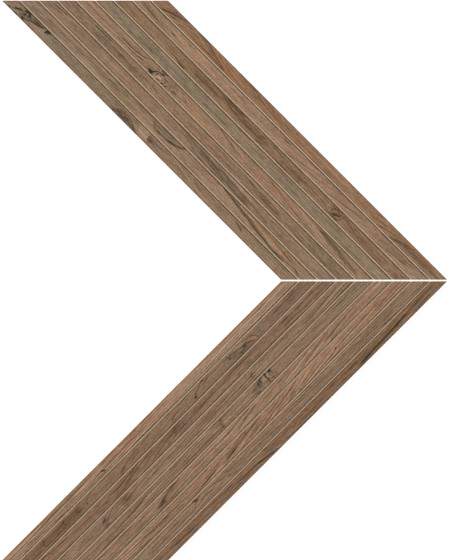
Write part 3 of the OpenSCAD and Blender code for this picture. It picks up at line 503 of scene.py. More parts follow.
FIGURE["lower", 6] = dict(
    rings=(2.6, 1.05), lean=[(-68, 0), (-30, 1), (60, 11), (150, 19), (200, 20), (250, 26), (330, 23)],
    dense=[(212, 255)],
    marks=[
        line(DARK, 0.6, 0.45, (-23, 3.8), (-11, 5), (-1, 6), (14, 7)), line(DARK, 0.45, 0.45, (-50, 2.6), (-20, 3.8), (15, 6.6)), line(DARK, 0.45, 0.45, (0, 2.0), (22, 5), (48, 8.6)),
        line(DARK, 0.6, 0.45, (104, 2.7), (112, 3.8), (120, 5), (128, 6.6), (136, 8.2)), line(DARK, 0.45, 0.45, (30, 2.2), (60, 5.6), (84, 8.6)), line(PALE, 0.45, 0.45, (20, 2.2), (44, 5.4), (70, 8.8)),
        line(DARK, 0.4, 0.45, (60, 2.0), (90, 5), (112, 8)), line(DARK, 0.4, 0.45, (140, 3.6), (200, 4.2)), line(DARK, 0.4, 0.45, (150, 7.6), (200, 8)), line(PALE, 0.4, 0.45, (84, 2.0), (108, 5.2), (130, 9)),
        spot(DARK, 0.6, 220.5, 1, 6, 0.9), line(DARK, 0.3, 0.8, (214, 1.2), (226, 2.6), (236, 4.6), (245, 6.8)), spot(DARK, 0.35, 235.3, 4.0, 4.6, 1.2, turn=12), spot(DARK, 0.5, 241, 6.9, 5.4, 2.0, turn=8),
        line(DARK, 0.5, 0.45, (236, 7.8), (243, 8.0), (248, 6.4)), spot(DARK, 0.3, 232, 5.5, 15, 3.4, turn=14), spot(DARK, 0.5, 232, 10.6, 12, 0.9), spot(WARM, 0.4, 228, 6.4, 8, 1.4),
        line(DARK, 0.4, 0.45, (252, 3), (276, 4.2), (300, 4.6)), line(DARK, 0.4, 0.45, (254, 8.4), (280, 7.6), (310, 6.8)),
    ],
)
FIGURE["lower", 7] = dict(
    rings=(2.6, 0.95), lean=[(-80, 0), (0, 3), (60, 10), (170, 27), (215, 30), (312, 27)],
    dense=[(100, 215)],
    marks=[
        bend(150, 5, 1.0, 40, 6),
        spot(BLACK, 1.0, 9, 6.2, 1.5, 0.8), spot(PALE, 0.3, 9, 6.2, 4, 2), line(DARK, 0.4, 0.45, (-60, 4.4), (-20, 5), (4, 6)),
        line(DARK, 0.45, 0.45, (30, 2.4), (44, 5), (60, 9)), line(DARK, 0.45, 0.45, (46, 1.2), (60, 4.4), (76, 9)), line(PALE, 0.4, 0.5, (38, 1.4), (52, 5), (66, 9.4)),
        line(DARK, 0.55, 0.45, (77, 0.6), (85, 2.2), (93, 3.7), (108, 5.8), (120, 8), (136, 10.4)),
        line(DARK, 0.5, 0.45, (92, 0.8), (106, 3), (122, 5.6), (140, 8.8)), line(DARK, 0.45, 0.45, (62, 2), (80, 4.2), (100, 7.4), (114, 9.8)), line(PALE, 0.45, 0.45, (98, 0.8), (114, 3.4), (132, 6.2), (148, 9.2)),
        line(DARK, 0.75, 0.5, (107, 1.0), (118, 2.2), (130, 3.6), (140, 5.0), (150, 6.6), (158, 7.7), (169, 8.5)), line(DARK, 0.5, 0.45, (120, 1.0), (136, 3.0), (152, 5.0), (166, 6.6)),
        line(DARK, 0.5, 0.5, (148, 5.6), (156, 7.0), (164, 8.0), (172, 8.6)), spot(DARK, 0.4, 160, 7.4, 10, 1.6, turn=10), spot(DARK, 0.5, 196, 9.4, 12, 1.0, turn=6), spot(WARM, 0.6, 194, 11, 12, 0.7, turn=4),
        line(DARK, 0.6, 0.45, (172, 7.0), (186, 8.6), (204, 10.2)), line(DARK, 0.45, 0.45, (128, 1), (150, 3), (172, 4.8), (192, 7.4)), line(DARK, 0.4, 0.45, (170, 4), (200, 6.6), (224, 7.6)), line(PALE, 0.45, 0.45, (180, 1.8), (200, 2.8), (216, 4.6)),
        spot(DARK, 0.26, 258, 8.6, 44, 2.8, p=5), line(DARK, 0.45, 0.45, (212, 6), (256, 4.8), (300, 4.8)), line(DARK, 0.4, 0.45, (240, 8.2), (268, 6.8), (296, 7.0)),
        line(PALE, 0.5, 0.45, (222, 3.4), (262, 2.8), (300, 2.6)), line(PALE, 0.5, 0.5, (284, 4.2), (298, 3.6), (310, 3.8)),
    ],
)
FIGURE["lower", 8] = dict(
    rings=(2.4, 0.90), lean=[(-92, 0), (0, -3), (100, -5), (180, -11), (225, -9), (298, -6)],
    dense=[(180, 228)],
    marks=[
        bend(216, 0, -2.2, 9, 5),
        line(DARK, 0.5, 0.45, (-9, 2.6), (10, 2.8)), line(WARM, 0.6, 0.5, (-9, 2.9), (10, 3.1)), line(DARK, 0.4, 0.5, (-24, 9), (-6, 9.1)), line(DARK, 0.4, 0.45, (-28, 6.2), (0, 5.0), (22, 4.4)),
        line(DARK, 0.4, 0.45, (-70, 4), (-30, 4.4), (20, 3.2)), line(DARK, 0.35, 0.45, (-60, 7), (0, 7.2)), line(DARK, 0.4, 0.45, (28, 7.0), (60, 5.8), (90, 5.6)),
        line(DARK, 0.5, 0.45, (108, 5.6), (126, 4.4), (150, 3.2)), line(DARK, 0.45, 0.45, (100, 8.6), (122, 7.4), (146, 6.6)), line(PALE, 0.4, 0.45, (96, 7.0), (120, 5.8), (148, 4.6)),
        line(DARK, 0.55, 0.5, (146, 3.6), (160, 4.2), (176, 4.2)), line(DARK, 0.55, 0.5, (148, 6), (162, 7.4), (178, 7.6)), line(DARK, 0.4, 0.45, (150, 9), (172, 10)), line(DARK, 0.4, 0.45, (158, 2.0), (176, 2.6)),
        line(PALE, 0.7, 0.6, (184, 7.6), (190, 5.4), (198, 3.8), (205, 3.0), (212, 3.5), (217.6, 5.0), (223, 7.6)), spot(PALE, 0.25, 204, 6.8, 12, 3.4), spot(WARM, 0.3, 202, 6.4, 12, 3),
        line(DARK, 0.5, 0.45, (190, 7.4), (200, 5.2), (207, 4.6), (213, 5.8)), line(DARK, 0.45, 0.4, (178, 6.4), (188, 3.4), (198, 1.8), (206, 1.4)),
        line(DARK, 1.0, 0.7, (213, 3.0), (214.4, 2.2), (216.6, 1.4), (219, 0.3)), spot(DARK, 0.6, 215.4, 1.9, 1.8, 1.0, turn=-20), line(DARK, 0.6, 0.45, (208, 1.6), (214, 3.2), (219, 5.4), (222, 8)),
        spot(GREY, 0.3, 216, 2, 5, 2.4), line(DARK, 0.45, 0.45, (224, 3.4), (250, 4.8), (285, 5)), line(DARK, 0.45, 0.45, (226, 6.2), (256, 7.6), (288, 7.6)), line(DARK, 0.3, 0.45, (40, 3.4), (96, 2.8)),
    ],
)
FIGURE["lower", 9] = dict(
    rings=(2.7, 0.90), lean=[(-105, 0), (0, 5), (60, 3), (110, 1), (150, -5), (285, -8)],
    dense=[(-75, 5)],
    marks=[
        line(DARK, 0.5, 0.7, (-104, 4.2), (-92, 4.1), (-80, 4.5), (-68, 4.8)), line(DARK, 0.4, 0.5, (-98, 8), (-70, 8.4)), line(DARK, 0.4, 0.5, (-96, 2.0), (-66, 2.4)),
        line(DARK, 0.5, 1.1, (-72, 5.0), (-54, 6.4), (-32, 7.2), (-12, 8.0), (8, 9.2)), line(DARK, 0.75, 0.6, (-68, 4.6), (-60, 5.6), (-50, 6.2), (-42, 6.6), (-32, 6.9), (-17, 7.2), (-8, 7.9), (4, 8.6)),
        line(BLACK, 0.35, 0.5, (-58, 5.8), (-50, 6.3), (-42, 6.6)), line(BLACK, 0.35, 0.5, (-35, 6.9), (-26, 7.0), (-18, 7.2)), line(BLACK, 0.4, 0.6, (-12, 7.7), (-6, 8.2), (1, 8.5)),
        sheaf(DARK, 0.4, 0.42, 3.0, 2, (-66, 6.4), (-40, 7.8), (-10, 9.0), (14, 9.6)), line(DARK, 0.4, 0.45, (-60, 2.8), (-20, 3.8), (20, 4.6)),
        line(DARK, 0.6, 0.45, (0, 4), (28, 4.1)), line(WARM, 0.6, 0.5, (2, 4.4), (28, 4.5)), spot(DARK, 0.5, 37, 3.7, 6, 1.0), spot(DARK, 0.5, 25.5, 7.8, 6, 0.9),
        line(DARK, 0.55, 0.5, (70, 3), (93, 3)), line(DARK, 0.65, 0.5, (126, 8.6), (136, 7.2), (147, 5.8)), line(DARK, 0.4, 0.45, (112, 6.8), (126, 5.2), (140, 3.6)),
        line(DARK, 0.4, 0.5, (50, 6.6), (90, 7)), line(DARK, 0.4, 0.5, (100, 3.6), (124, 3.2)),
        line(DARK, 0.4, 0.5, (160, 4), (210, 3.4)), line(DARK, 0.4, 0.5, (150, 8.4), (200, 7.8)), line(DARK, 0.4, 0.5, (220, 6), (270, 5.4)),
    ],
)

# Lightness, warmth and yellowness of each whole strip, beside the common brown
CAST = {
    ("upper", 1): (1, -2, 0), ("upper", 2): (4, 0, 0), ("upper", 3): (0, 0, 0), ("upper", 4): (-2, 0, 1), ("upper", 5): (5, 3, 0),
    ("upper", 6): (4, -4, 1), ("upper", 7): (-4, 2, 4), ("upper", 8): (6, 3, 0), ("upper", 9): (-3, 8, 1),
    ("lower", 1): (8, 1, 0), ("lower", 2): (-7, 1, 0), ("lower", 3): (-9, 4, 0), ("lower", 4): (-3, 1, 0), ("lower", 5): (-3, 1, 0),
    ("lower", 6): (2, 3, 0), ("lower", 7): (4, 6, 0), ("lower", 8): (-5, 1, 1), ("lower", 9): (-13, 5, 4),
}


# ----------------------------------------------------------------------------
# Mesh helpers
# ----------------------------------------------------------------------------
def add_mesh(name, points, faces, material, sharp=35.0):
    mesh = bpy.data.meshes.new(name)
    mesh.from_pydata([tuple(p) for p in points], [], faces)
    mesh.validate()
    mesh.polygons.foreach_set("use_smooth", [True] * len(mesh.polygons))
    mesh.set_sharp_from_angle(angle=math.radians(sharp))
    mesh.materials.append(material)
    mesh.update()
    piece = bpy.data.objects.new(name, mesh)
    bpy.context.scene.collection.objects.link(piece)
    return piece


def put(piece, name, values):
    at = piece.data.attributes.new(name, "FLOAT_VECTOR", "POINT")
    at.data.foreach_set("vector", np.ascontiguousarray(values, np.float32).ravel())


def place(bank, i):
    """The strip's own axes: u runs from one mitre to the other, v across."""
    lo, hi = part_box("%s_strip_%d" % (bank, i))
    rise = (hi.y - lo.y) / MM
    width = ((hi.x - lo.x) / MM - rise) / R2
    x0 = lo.x / MM if bank == "upper" else lo.x / MM + rise
    side = 1.0 if bank == "upper" else -1.0
    return x0, hi.y / MM, rise * R2, width, side, lo.z / MM, hi.z / MM


def to_world(bank_place, u, v, z):
    x0, y0, _, _, side, _, _ = bank_place
    return np.stack([x0 + side * u / R2 + v * R2, y0 - u / R2, z], -1) * MM


def rows_for(length, side, v_mid, dense, fine=0.85, coarse=1.65):
    """Rows from mitre to mitre, closer together where the figure is busy."""
    ends = [0.0, 0.14, 0.42]
    out, u = [], 0.9
    while u < length - 1.1:
        out.append(u)
        s = (u + side * v_mid) / MARK
        u += fine if any(a <= s <= b for a, b in dense) else coarse
    return np.array(ends + out + [length - e for e in reversed(ends)])


def strip_piece(bank, i, material):
    spec = FIGURE[bank, i]
    here = place(bank, i)
    _, _, length, width, side, z_low, z_top = here
    pitch = (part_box("%s_strip_2" % bank)[0].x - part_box("%s_strip_1" % bank)[0].x) / MM / R2
    v_off = (i - 1) * pitch
    seed = 100 * i + (7 if bank == "upper" else 57)

    rim = [0.0, 0.1, 0.25, 0.5]
    v1 = np.array(rim + list(np.arange(1.0, width - 0.99, 0.5)) + [width - r for r in reversed(rim)])
    u1 = rows_for(length, side, v_off + width / 2, [(a - 6, b + 6) for a, b in spec["dense"]])
    nu, nv = len(u1), len(v1)
    u, v = np.meshgrid(u1, v1, indexing="ij")

    along = (u + side * v) / MARK  # from this strip's own corner
    s = (u + side * (v + v_off)) / MARK
    w = v / MARK

    # the grain wanders a little, and lifts round its knots
    bends = [m for m in spec["marks"] if m[0] == "bend"]
    lift = grain_shift(s, w, bends)
    wander = 0.45 * noise(s / 55.0, w / 9.0, seed) + 0.16 * noise(s / 17.0, w / 4.0, seed + 1)
    g_w = w + wander + lift - np.interp(s, *zip(*spec["lean"]))

    tones, glow = np.zeros((6,) + s.shape), np.zeros(s.shape)
    for k, m in enumerate(unfold(spec["marks"])):
        if m[0] == "line":
            _, tone, amount, half, points, p, taper, rough = m
            vein, halo = line_mask(s, w + 0.35 * wander, half, points, p, taper, rough, seed + 11 * k)
            tones[tone] += 1.25 * amount * vein
            if tone not in (WARM, PALE):
                glow = np.maximum(glow, amount * halo)
        elif m[0] == "spot":
            _, tone, amount, a, c, ra, rc, turn, p, rough = m
            tones[tone] += amount * spot_mask(s, w, a, c, ra, rc, turn, p, rough, seed + 11 * k)
    tones = np.clip(tones, 0.0, 1.15)

    light_c, red_c, yellow_c = CAST[bank, i]
    light = light_c / 100.0 + 0.035 * glow
    red = np.full(np.shape(s), red_c / 10.0)

    # growth lines, uneven in spacing and in strength
    gap, strong = spec["rings"]
    phase = g_w / gap + 0.70 * noise(s / 130.0, g_w / 3.1, seed + 30) + 0.30 * noise(s / 34.0, w / 5.0, seed + 31)
    strong = strong * np.clip(0.80 + 0.85 * noise(s / 42.0, g_w / 3.4, seed + 32) + 0.35 * noise(s / 12.0, g_w / 1.6, seed + 33), 0.05, 1.6)
    ring_line = (0.5 + 0.5 * np.cos(2 * math.pi * phase)) ** 2.2

    # the rounded long edges and mitres, with the small unevenness of fired clay
    e_v = np.minimum(v, width - v)
    e_u = np.minimum(u, length - u) / R2
    r_v = 0.5 * (0.95 + 0.05 * noise(s / 4.0, 0 * w + (v > width / 2), seed + 5))
    r_u = 0.3 * (0.86 + 0.14 * noise(w / 1.5, 0 * w + (u > length / 2), seed + 6))

    def fall(e, r):
        t = np.clip(1.0 - e / r, 0.0, 1.0)
        return r * (1.0 - np.sqrt(np.clip(1.0 - t * t, 0.0, 1.0)))

    drop = np.maximum(fall(e_v, r_v), fall(e_u, r_u))
    # brushed grain: shallow furrows along the fibres, deeper in dark veins
    g_s = s / 9.0
    furrow = 0.55 * noise(g_s, g_w / 0.62, seed + 20) + 0.45 * noise(g_s * 1.9, g_w / 0.36, seed + 21)
    relief = 0.04 * (furrow + 1.0) + 0.07 * strong * ring_line + 0.09 * ramp(tones[DARK] + tones[BLACK], 0.2, 1.0) + 0.03 * (noise(s / 40.0, g_w / 2.2, seed + 22) + 1.0)
    inner = ramp(e_v, 0.1, 0.9) * ramp(e_u, 0.1, 0.9)
    z = z_top - drop - relief * inner

    # how near a point is to an edge: the glaze is thin and brown there, and the term at the right-hand long edge also
    # paints the shade that falls beside the next joint
    near_v = 1.0 * np.exp(-((v / 0.8) ** 2)) + (0.6 if bank == "upper" else 0.3) * np.exp(-(((width - v) / 0.5) ** 2))
    near_u = np.exp(-((e_u / 0.95) ** 2))
    outer = np.zeros(s.shape)
    if i == 1:
        outer = np.exp(-((v / 1.1) ** 2))
    if i == 9:
        outer = np.maximum(outer, np.exp(-(((width - v) / 1.1) ** 2)))
    edge = np.clip(np.maximum.reduce([near_v, 1.15 * near_u, 1.15 * outer]), 0, 1.2)

    top = to_world(here, u, v, z).reshape(-1, 3)
    flow = np.stack([s * MARK * MM, g_w * MARK * MM, np.full(s.shape, 0.137 * seed)], -1).reshape(-1, 3)
    first = np.stack([tones[DARK], tones[BLACK], tones[GREEN]], -1).reshape(-1, 3)
    second = np.stack([tones[WARM], tones[PALE], tones[GREY]], -1).reshape(-1, 3)
    third = np.stack([light, red, edge], -1).reshape(-1, 3)
    fourth = np.stack([phase, strong, np.full(s.shape, yellow_c)], -1).reshape(-1, 3)

    idx = np.arange(nu * nv).reshape(nu, nv)
    faces = [
        (int(a), int(b), int(c), int(d))
        for a, b, c, d in zip(idx[:-1, :-1].ravel(), idx[1:, :-1].ravel(), idx[1:, 1:].ravel(), idx[:-1, 1:].ravel())
    ]

    # side walls: the ring of the face, and the same ring lower down
    ring = np.concatenate([idx[:-1, 0], idx[-1, :-1], idx[:0:-1, -1], idx[0, :0:-1]])
    uv_ring = np.stack([u.ravel()[ring], v.ravel()[ring]], -1)
    z_ring = z.ravel()[ring]
    points, attrs = [top], [[flow], [first], [second], [third], [fourth]]
    previous, count = ring, nu * nv
    n = len(ring)
    for share in (0.30, 0.68, 1.0):
        z_row = z_ring + (z_low - z_ring) * share
        low = to_world(here, uv_ring[:, 0], uv_ring[:, 1], z_row)
        points.append(low)
        for store, src in zip(attrs, (flow, first, second, third, fourth)):
            part = src[ring].copy()
            store.append(part)
        now = np.arange(count, count + n)
        faces += [
            (int(p), int(q), int(b), int(a))
            for p, q, a, b in zip(now, np.roll(now, -1), previous, np.roll(previous, -1))
        ]
        previous, count = now, count + n

    # the back, with its shallow lengthwise ribs
    bottom = {int(t): int(b) for t, b in zip(ring, previous)}
    rib_v = np.array([1.2, 1.7, 3.6, 4.1, 6.0, 6.5, 8.25, 8.75, 10.5, 11.0, 12.9, 13.4, 15.3, 15.8]) * width / 17.0
    rib_z = z_low + np.tile([0.0, 0.35, 0.35, 0.0], 4)[: len(rib_v)]
    keep = [1] + list(range(9, nu - 5, 8)) + [nu - 2]
    back = []
    for r in keep:
        zz = np.full(len(rib_v), z_low) if r in (1, nu - 2) else rib_z
        p = to_world(here, np.full(len(rib_v), u1[r]), rib_v, zz)
        points.append(p)
        back.append(list(range(count, count + len(rib_v))))
        count += len(rib_v)
        zero = np.zeros((len(rib_v), 3))
        attrs[0].append(np.stack([np.full(len(rib_v), u1[r]) * MM, rib_v * MM, np.full(len(rib_v), 0.137 * seed)], -1))
        attrs[1].append(zero)
        attrs[2].append(zero)
        attrs[3].append(zero)
        attrs[4].append(zero)
    b_of = lambda r, c: bottom[int(idx[r, c])]
    for k in range(len(keep) - 1):
        r0, r1 = keep[k], keep[k + 1]
        for c in range(len(rib_v) - 1):
            faces.append((back[k][c], back[k][c + 1], back[k + 1][c + 1], back[k + 1][c]))
        faces.append(tuple([b_of(r, 0) for r in range(r1, r0 - 1, -1)] + [back[k][0], back[k + 1][0]]))
        faces.append(tuple([b_of(r, nv - 1) for r in range(r0, r1 + 1)] + [back[k + 1][-1], back[k][-1]]))
    faces.append(tuple([b_of(1, 0), b_of(0, 0)] + [b_of(0, c) for c in range(1, nv)] + [b_of(1, nv - 1)] + back[0][::-1]))
    faces.append(tuple([b_of(nu - 2, nv - 1), b_of(nu - 1, nv - 1)] + [b_of(nu - 1, c) for c in range(nv - 2, -1, -1)] + [b_of(nu - 2, 0)] + back[-1]))

    piece = add_mesh("strip_face_%s%d" % (bank[0], i), np.concatenate(points), faces, material)
    body = np.ones(count)
    body[: nu * nv] = 0.0
    body[: nu * nv][ring] = 0.7
    for name, store in zip(("flow", "stain", "wash", "cast", "rings"), attrs):
        put(piece, name, np.concatenate(store))
    put(piece, "body", np.stack([body, body, body], -1))
    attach(piece, "root")
    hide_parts("%s_strip_%d" % (bank, i))
    return piece


def filler_piece(bank, material):
    """Eight bars of joint filler, dished and gritty on top."""
    node = "joint_filler_%s" % bank
    z_low, z_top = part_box(node)[0].z / MM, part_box(node)[1].z / MM
    points, faces, joint_shade_dirt, count = [], [], [], 0
    for j in range(1, 9):
        here, after = place(bank, j), place(bank, j + 1)
        _, _, length, width, side, _, _ = here
        gap = (after[0] - here[0]) / R2 - width
        vs = np.array([0.0, 0.35, 0.9, 1.5, 2.1, 2.65, 3.0]) * gap / 3.0
        us = np.concatenate([[0.0], np.arange(1.1, length - 0.8, 1.75), [length]])
        u, v = np.meshgrid(us, vs, indexing="ij")
        seed = 900 + j + (0 if bank == "upper" else 50)
        t = 2 * v / gap - 1
        grit = noise(u / 1.9, v / 1.1, seed) + 0.5 * noise(u / 23.0, v / 3.0, seed + 40)
        z = z_top - 0.30 * (1 - t * t) - 0.02 * (grit + 1.5)
        here_v = (here[0], here[1], here[2], here[3], here[4], 0, 0)
        top = to_world(here_v, u, v + width, z).reshape(-1, 3)
        nu, nv = u.shape
        idx = np.arange(nu * nv).reshape(nu, nv)
        ring = np.concatenate([idx[:-1, 0], idx[-1, :-1], idx[:0:-1, -1], idx[0, :0:-1]])
        low = top[ring].copy()
        low[:, 2] = z_low * MM
        faces += [
            tuple(int(q) + count for q in quad)
            for quad in zip(idx[:-1, :-1].ravel(), idx[1:, :-1].ravel(), idx[1:, 1:].ravel(), idx[:-1, 1:].ravel())
        ]
        n = len(ring)
        base = count + nu * nv
        for k in range(n):
            q = (k + 1) % n
            faces.append((base + k, base + q, count + int(ring[q]), count + int(ring[k])))
        # the underside, one quad for each row
        left = {int(r): k for k, r in enumerate(ring)}
        g = lambda r, c: base + left[int(idx[r, c])]
        faces.append(tuple([g(1, 0), g(0, 0)] + [g(0, c) for c in range(1, nv)] + [g(1, nv - 1)]))
        for r in range(1, nu - 2):
            faces.append((g(r, 0), g(r, nv - 1), g(r + 1, nv - 1), g(r + 1, 0)))
        faces.append(tuple([g(nu - 2, nv - 1), g(nu - 1, nv - 1)] + [g(nu - 1, c) for c in range(nv - 2, -1, -1)] + [g(nu - 2, 0)]))
        points += [top, low]
        # painted shade and edge dirt: the filler browns towards both strips, most on its left side, where the left
        # strip's shadow falls into the joint
        if bank == "upper":
            shade_and_edge_dirt = np.maximum(ramp(-t, -0.25, 0.85), ramp(t, 0.32, 0.90)).reshape(-1)
        else:
            shade_and_edge_dirt = np.maximum(ramp(-t, 0.05, 1.00), ramp(t, 0.17, 0.80)).reshape(-1)
        joint_shade_dirt += [np.stack([shade_and_edge_dirt, np.full(shade_and_edge_dirt.shape, 0.1 * j), shade_and_edge_dirt], -1), np.full((n, 3), 0.15)]
        count += nu * nv + n
    piece = add_mesh("filler_bars_%s" % bank, np.concatenate(points), faces, material)
    put(piece, "joint_shade_dirt", np.concatenate(joint_shade_dirt))
    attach(piece, "root")
    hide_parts(node)
    return piece


# ----------------------------------------------------------------------------
# Materials
# ----------------------------------------------------------------------------
def lin(r, g, b):
    def one(c):
        c /= 255.0
        return c / 12.92 if c <= 0.04045 else ((c + 0.055) / 1.055) ** 2.4

    return (one(r), one(g), one(b), 1.0)


class Sheet:
    """A small hand for building node trees."""

    def __init__(self, name):
        self.mat = bpy.data.materials.new(name)
        self.mat.use_nodes = True
        self.nt = self.mat.node_tree
        self.nt.nodes.clear()

    def new(self, kind, **settings):
        node = self.nt.nodes.new(kind)
        for key, value in settings.items():
            setattr(node, key, value)
        return node

    def feed(self, socket, value):
        if isinstance(value, bpy.types.NodeSocket):
            self.nt.links.new(value, socket)
        else:
            socket.default_value = value

    def attr(self, name):
        return self.new("ShaderNodeAttribute", attribute_name=name).outputs["Vector"]

    def split(self, vector):
        node = self.new("ShaderNodeSeparateXYZ")
        self.feed(node.inputs[0], vector)
        return node.outputs

    def vec(self, op, a, b):
        node = self.new("ShaderNodeVectorMath", operation=op)
        self.feed(node.inputs[0], a)
        self.feed(node.inputs[1], b)
        return node.outputs[0]

    def math(self, op, a, b=0.0, c=None, clamp=False):
        node = self.new("ShaderNodeMath", operation=op, use_clamp=clamp)
        self.feed(node.inputs[0], a)
        self.feed(node.inputs[1], b)
        if c is not None:
            self.feed(node.inputs[2], c)
        return node.outputs[0]

    def noise(self, vector, scale, detail=2.0, roughness=0.5, distortion=0.0):
        node = self.new("ShaderNodeTexNoise")
        self.feed(node.inputs["Vector"], vector)
        node.inputs["Scale"].default_value = scale
        node.inputs["Detail"].default_value = detail
        node.inputs["Roughness"].default_value = roughness
        node.inputs["Distortion"].default_value = distortion
        return node.outputs["Fac"] if "Fac" in node.outputs else node.outputs[0]

    def grain(self, flow, along, across, shift, detail=2.0, roughness=0.5):
        """Noise stretched along the fibres, about -1 to 1; sizes in metres."""
        v = self.vec("MULTIPLY", flow, (1.0 / along, 1.0 / across, 1.0))
        v = self.vec("ADD", v, (shift, shift * 1.7, shift * 0.31))
        n = self.noise(v, 1.0, detail, roughness)
        return self.math("MULTIPLY_ADD", n, 4.0, -2.0)

    def mix(self, a, b, factor, mode="MIX"):
        node = self.new("ShaderNodeMix", data_type="RGBA", blend_type=mode, clamp_factor=True)
        self.feed(node.inputs["Factor"], factor)
        self.feed(node.inputs[6], a)
        self.feed(node.inputs[7], b)
        return node.outputs[2]

    def ramp(self, x, lo, hi, to_lo=0.0, to_hi=1.0, smooth=True):
        node = self.new("ShaderNodeMapRange", interpolation_type="SMOOTHSTEP" if smooth else "LINEAR")
        self.feed(node.inputs["Value"], x)
        for key, value in zip(("From Min", "From Max", "To Min", "To Max"), (lo, hi, to_lo, to_hi)):
            self.feed(node.inputs[key], value)
        return node.outputs["Result"]

    def finish(self, color, roughness, height, distance, strength, specular, ior=1.5):
        bump = self.new("ShaderNodeBump")
        bump.inputs["Strength"].default_value = strength
        bump.inputs["Distance"].default_value = distance
        self.feed(bump.inputs["Height"], height)
        shader = self.new("ShaderNodeBsdfPrincipled")
        self.feed(shader.inputs["Base Color"], color)
        self.feed(shader.inputs["Roughness"], roughness)
        shader.inputs["IOR"].default_value = ior
        shader.inputs["Specular IOR Level"].default_value = specular
        self.nt.links.new(bump.outputs[0], shader.inputs["Normal"])
        out = self.new("ShaderNodeOutputMaterial")
        self.nt.links.new(shader.outputs[0], out.inputs["Surface"])
        return self.mat


def strip_material():
    k = Sheet("wood_look_porcelain")
    flow = k.attr("flow")
    dark, black, green = k.split(k.attr("stain"))
    warm, pale, grey = k.split(k.attr("wash"))
    light, red, edge = k.split(k.attr("cast"))
    phase, strong, yellow = k.split(k.attr("rings"))
    body = k.split(k.attr("body"))[0]

    fibre = k.grain(flow, 0.016, 0.0015, 3.1, detail=2.0, roughness=0.6)
    fine = k.grain(flow, 0.007, 0.0008, 17.7, detail=1.0)
    mid = k.grain(flow, 0.075, 0.0042, 41.3, detail=2.0, roughness=0.55)
    broad = k.grain(flow, 0.150, 0.0110, 63.9, detail=1.0)
    hue = k.grain(flow, 0.030, 0.0035, 90.2, detail=2.0, roughness=0.6)
    speck = k.grain(flow, 0.0030, 0.0018, 5.4, detail=1.0)

    value = k.math("MULTIPLY", fibre, 0.190)
    value = k.math("MULTIPLY_ADD", fine, 0.100, value)
    value = k.math("MULTIPLY_ADD", mid, 0.125, value)
    value = k.math("MULTIPLY_ADD", broad, 0.040, value)
    value = k.math("MULTIPLY_ADD", speck, 0.130, value)

    # light and dark wood, mixed by the streaks
    t = k.math("MULTIPLY_ADD", value, 1.25, 0.5, clamp=True)
    color = k.mix(lin(100, 77, 60), lin(172, 145, 121), t)
    hue_t = k.math("MULTIPLY_ADD", hue, 0.32, 0.5, clamp=True)
    color = k.mix(color, k.mix((0.93, 1.01, 1.03, 1), (1.09, 0.98, 0.93, 1), hue_t), 1.0, "MULTIPLY")
    red_t = k.math("MULTIPLY_ADD", red, 0.5, 0.5, clamp=True)
    color = k.mix(color, k.mix((0.86, 1.02, 1.10, 1), (1.14, 0.98, 0.90, 1), red_t), 1.0, "MULTIPLY")

    def stain(color, mask, tint, fray=0.35):
        frayed = k.math("MULTIPLY", mask, k.math("MULTIPLY_ADD", fibre, -fray, 1.0), clamp=True)
        return k.mix(color, tint, frayed, "MULTIPLY")

    color = stain(color, pale, (1.43, 1.46, 1.54, 1))
    color = stain(color, warm, (1.12, 0.93, 0.72, 1))
    color = stain(color, green, (0.60, 0.80, 0.76, 1))
    color = stain(color, grey, (0.74, 0.82, 0.92, 1))
    color = stain(color, dark, (0.34, 0.33, 0.28, 1))
    color = stain(color, black, (0.12, 0.15, 0.15, 1))
    color = k.mix(color, (0.98, 0.93, 0.70, 1), k.math("MULTIPLY", yellow, 0.08), "MULTIPLY")
    color = k.vec("SCALE", color, (0, 0, 0))
    scale_node = color.node
    # growth lines: dark and narrow, with paler wood between them
    wave = k.math("COSINE", k.math("MULTIPLY_ADD", fibre, 0.35, k.math("MULTIPLY", phase, 2 * math.pi)))
    wave = k.math("POWER", k.math("MULTIPLY_ADD", wave, 0.5, 0.5, clamp=True), 2.2)
    wave = k.math("MULTIPLY", strong, k.math("MULTIPLY_ADD", wave, -0.60, 0.20))
    k.feed(scale_node.inputs["Scale"], k.math("MULTIPLY", k.math("MULTIPLY_ADD", light, 2.0, 1.0), k.math("ADD", wave, 1.0)))

    # pores: short dark dashes
    pores = k.ramp(k.grain(flow, 0.006, 0.0009, 28.0, detail=0.0), 0.55, 1.1)
    color = k.mix(color, (0.66, 0.63, 0.56, 1), k.math("MULTIPLY", pores, 0.6), "MULTIPLY")
    # thin dark growth lines
    lines = k.ramp(k.grain(flow, 0.060, 0.0021, 52.0, detail=1.0), 0.40, 1.15)
    color = k.mix(color, (0.62, 0.59, 0.52, 1), k.math("MULTIPLY", lines, 0.5), "MULTIPLY")

    # thin brown glaze along every edge, with painted shade at each right-hand long edge beside the joint
    rim = k.math("MULTIPLY", edge, k.math("MULTIPLY_ADD", fine, 0.06, 0.85), clamp=True)
    color = k.mix(color, (0.58, 0.50, 0.38, 1), rim, "MULTIPLY")

    # coloured body on the sides and back
    coord = k.new("ShaderNodeTexCoord").outputs["Object"]
    grit = k.noise(coord, 900.0, 3.0, 0.6)
    cloud = k.noise(coord, 45.0, 2.0, 0.5)
    clay = k.mix(lin(112, 88, 68), lin(148, 121, 97), k.math("MULTIPLY_ADD", grit, 0.7, k.math("MULTIPLY_ADD", cloud, 0.6, -0.15), clamp=True))
    color = k.mix(color, clay, body)

    rough = k.math("MULTIPLY_ADD", fibre, 0.05, 0.78)
    rough = k.math("MULTIPLY_ADD", dark, 0.08, rough)
    rough = k.math("MULTIPLY_ADD", body, 0.12, rough, clamp=True)
    height = k.math("MULTIPLY", fibre, 0.5)
    height = k.math("MULTIPLY_ADD", fine, 0.35, height)
    height = k.math("MULTIPLY_ADD", pores, -0.9, height)
    height = k.math("MULTIPLY", height, k.math("SUBTRACT", 1.0, body))
    height = k.math("MULTIPLY_ADD", k.math("MULTIPLY", grit, body), 1.2, height)
    return k.finish(color, rough, height, 0.00012, 0.6, 0.08)


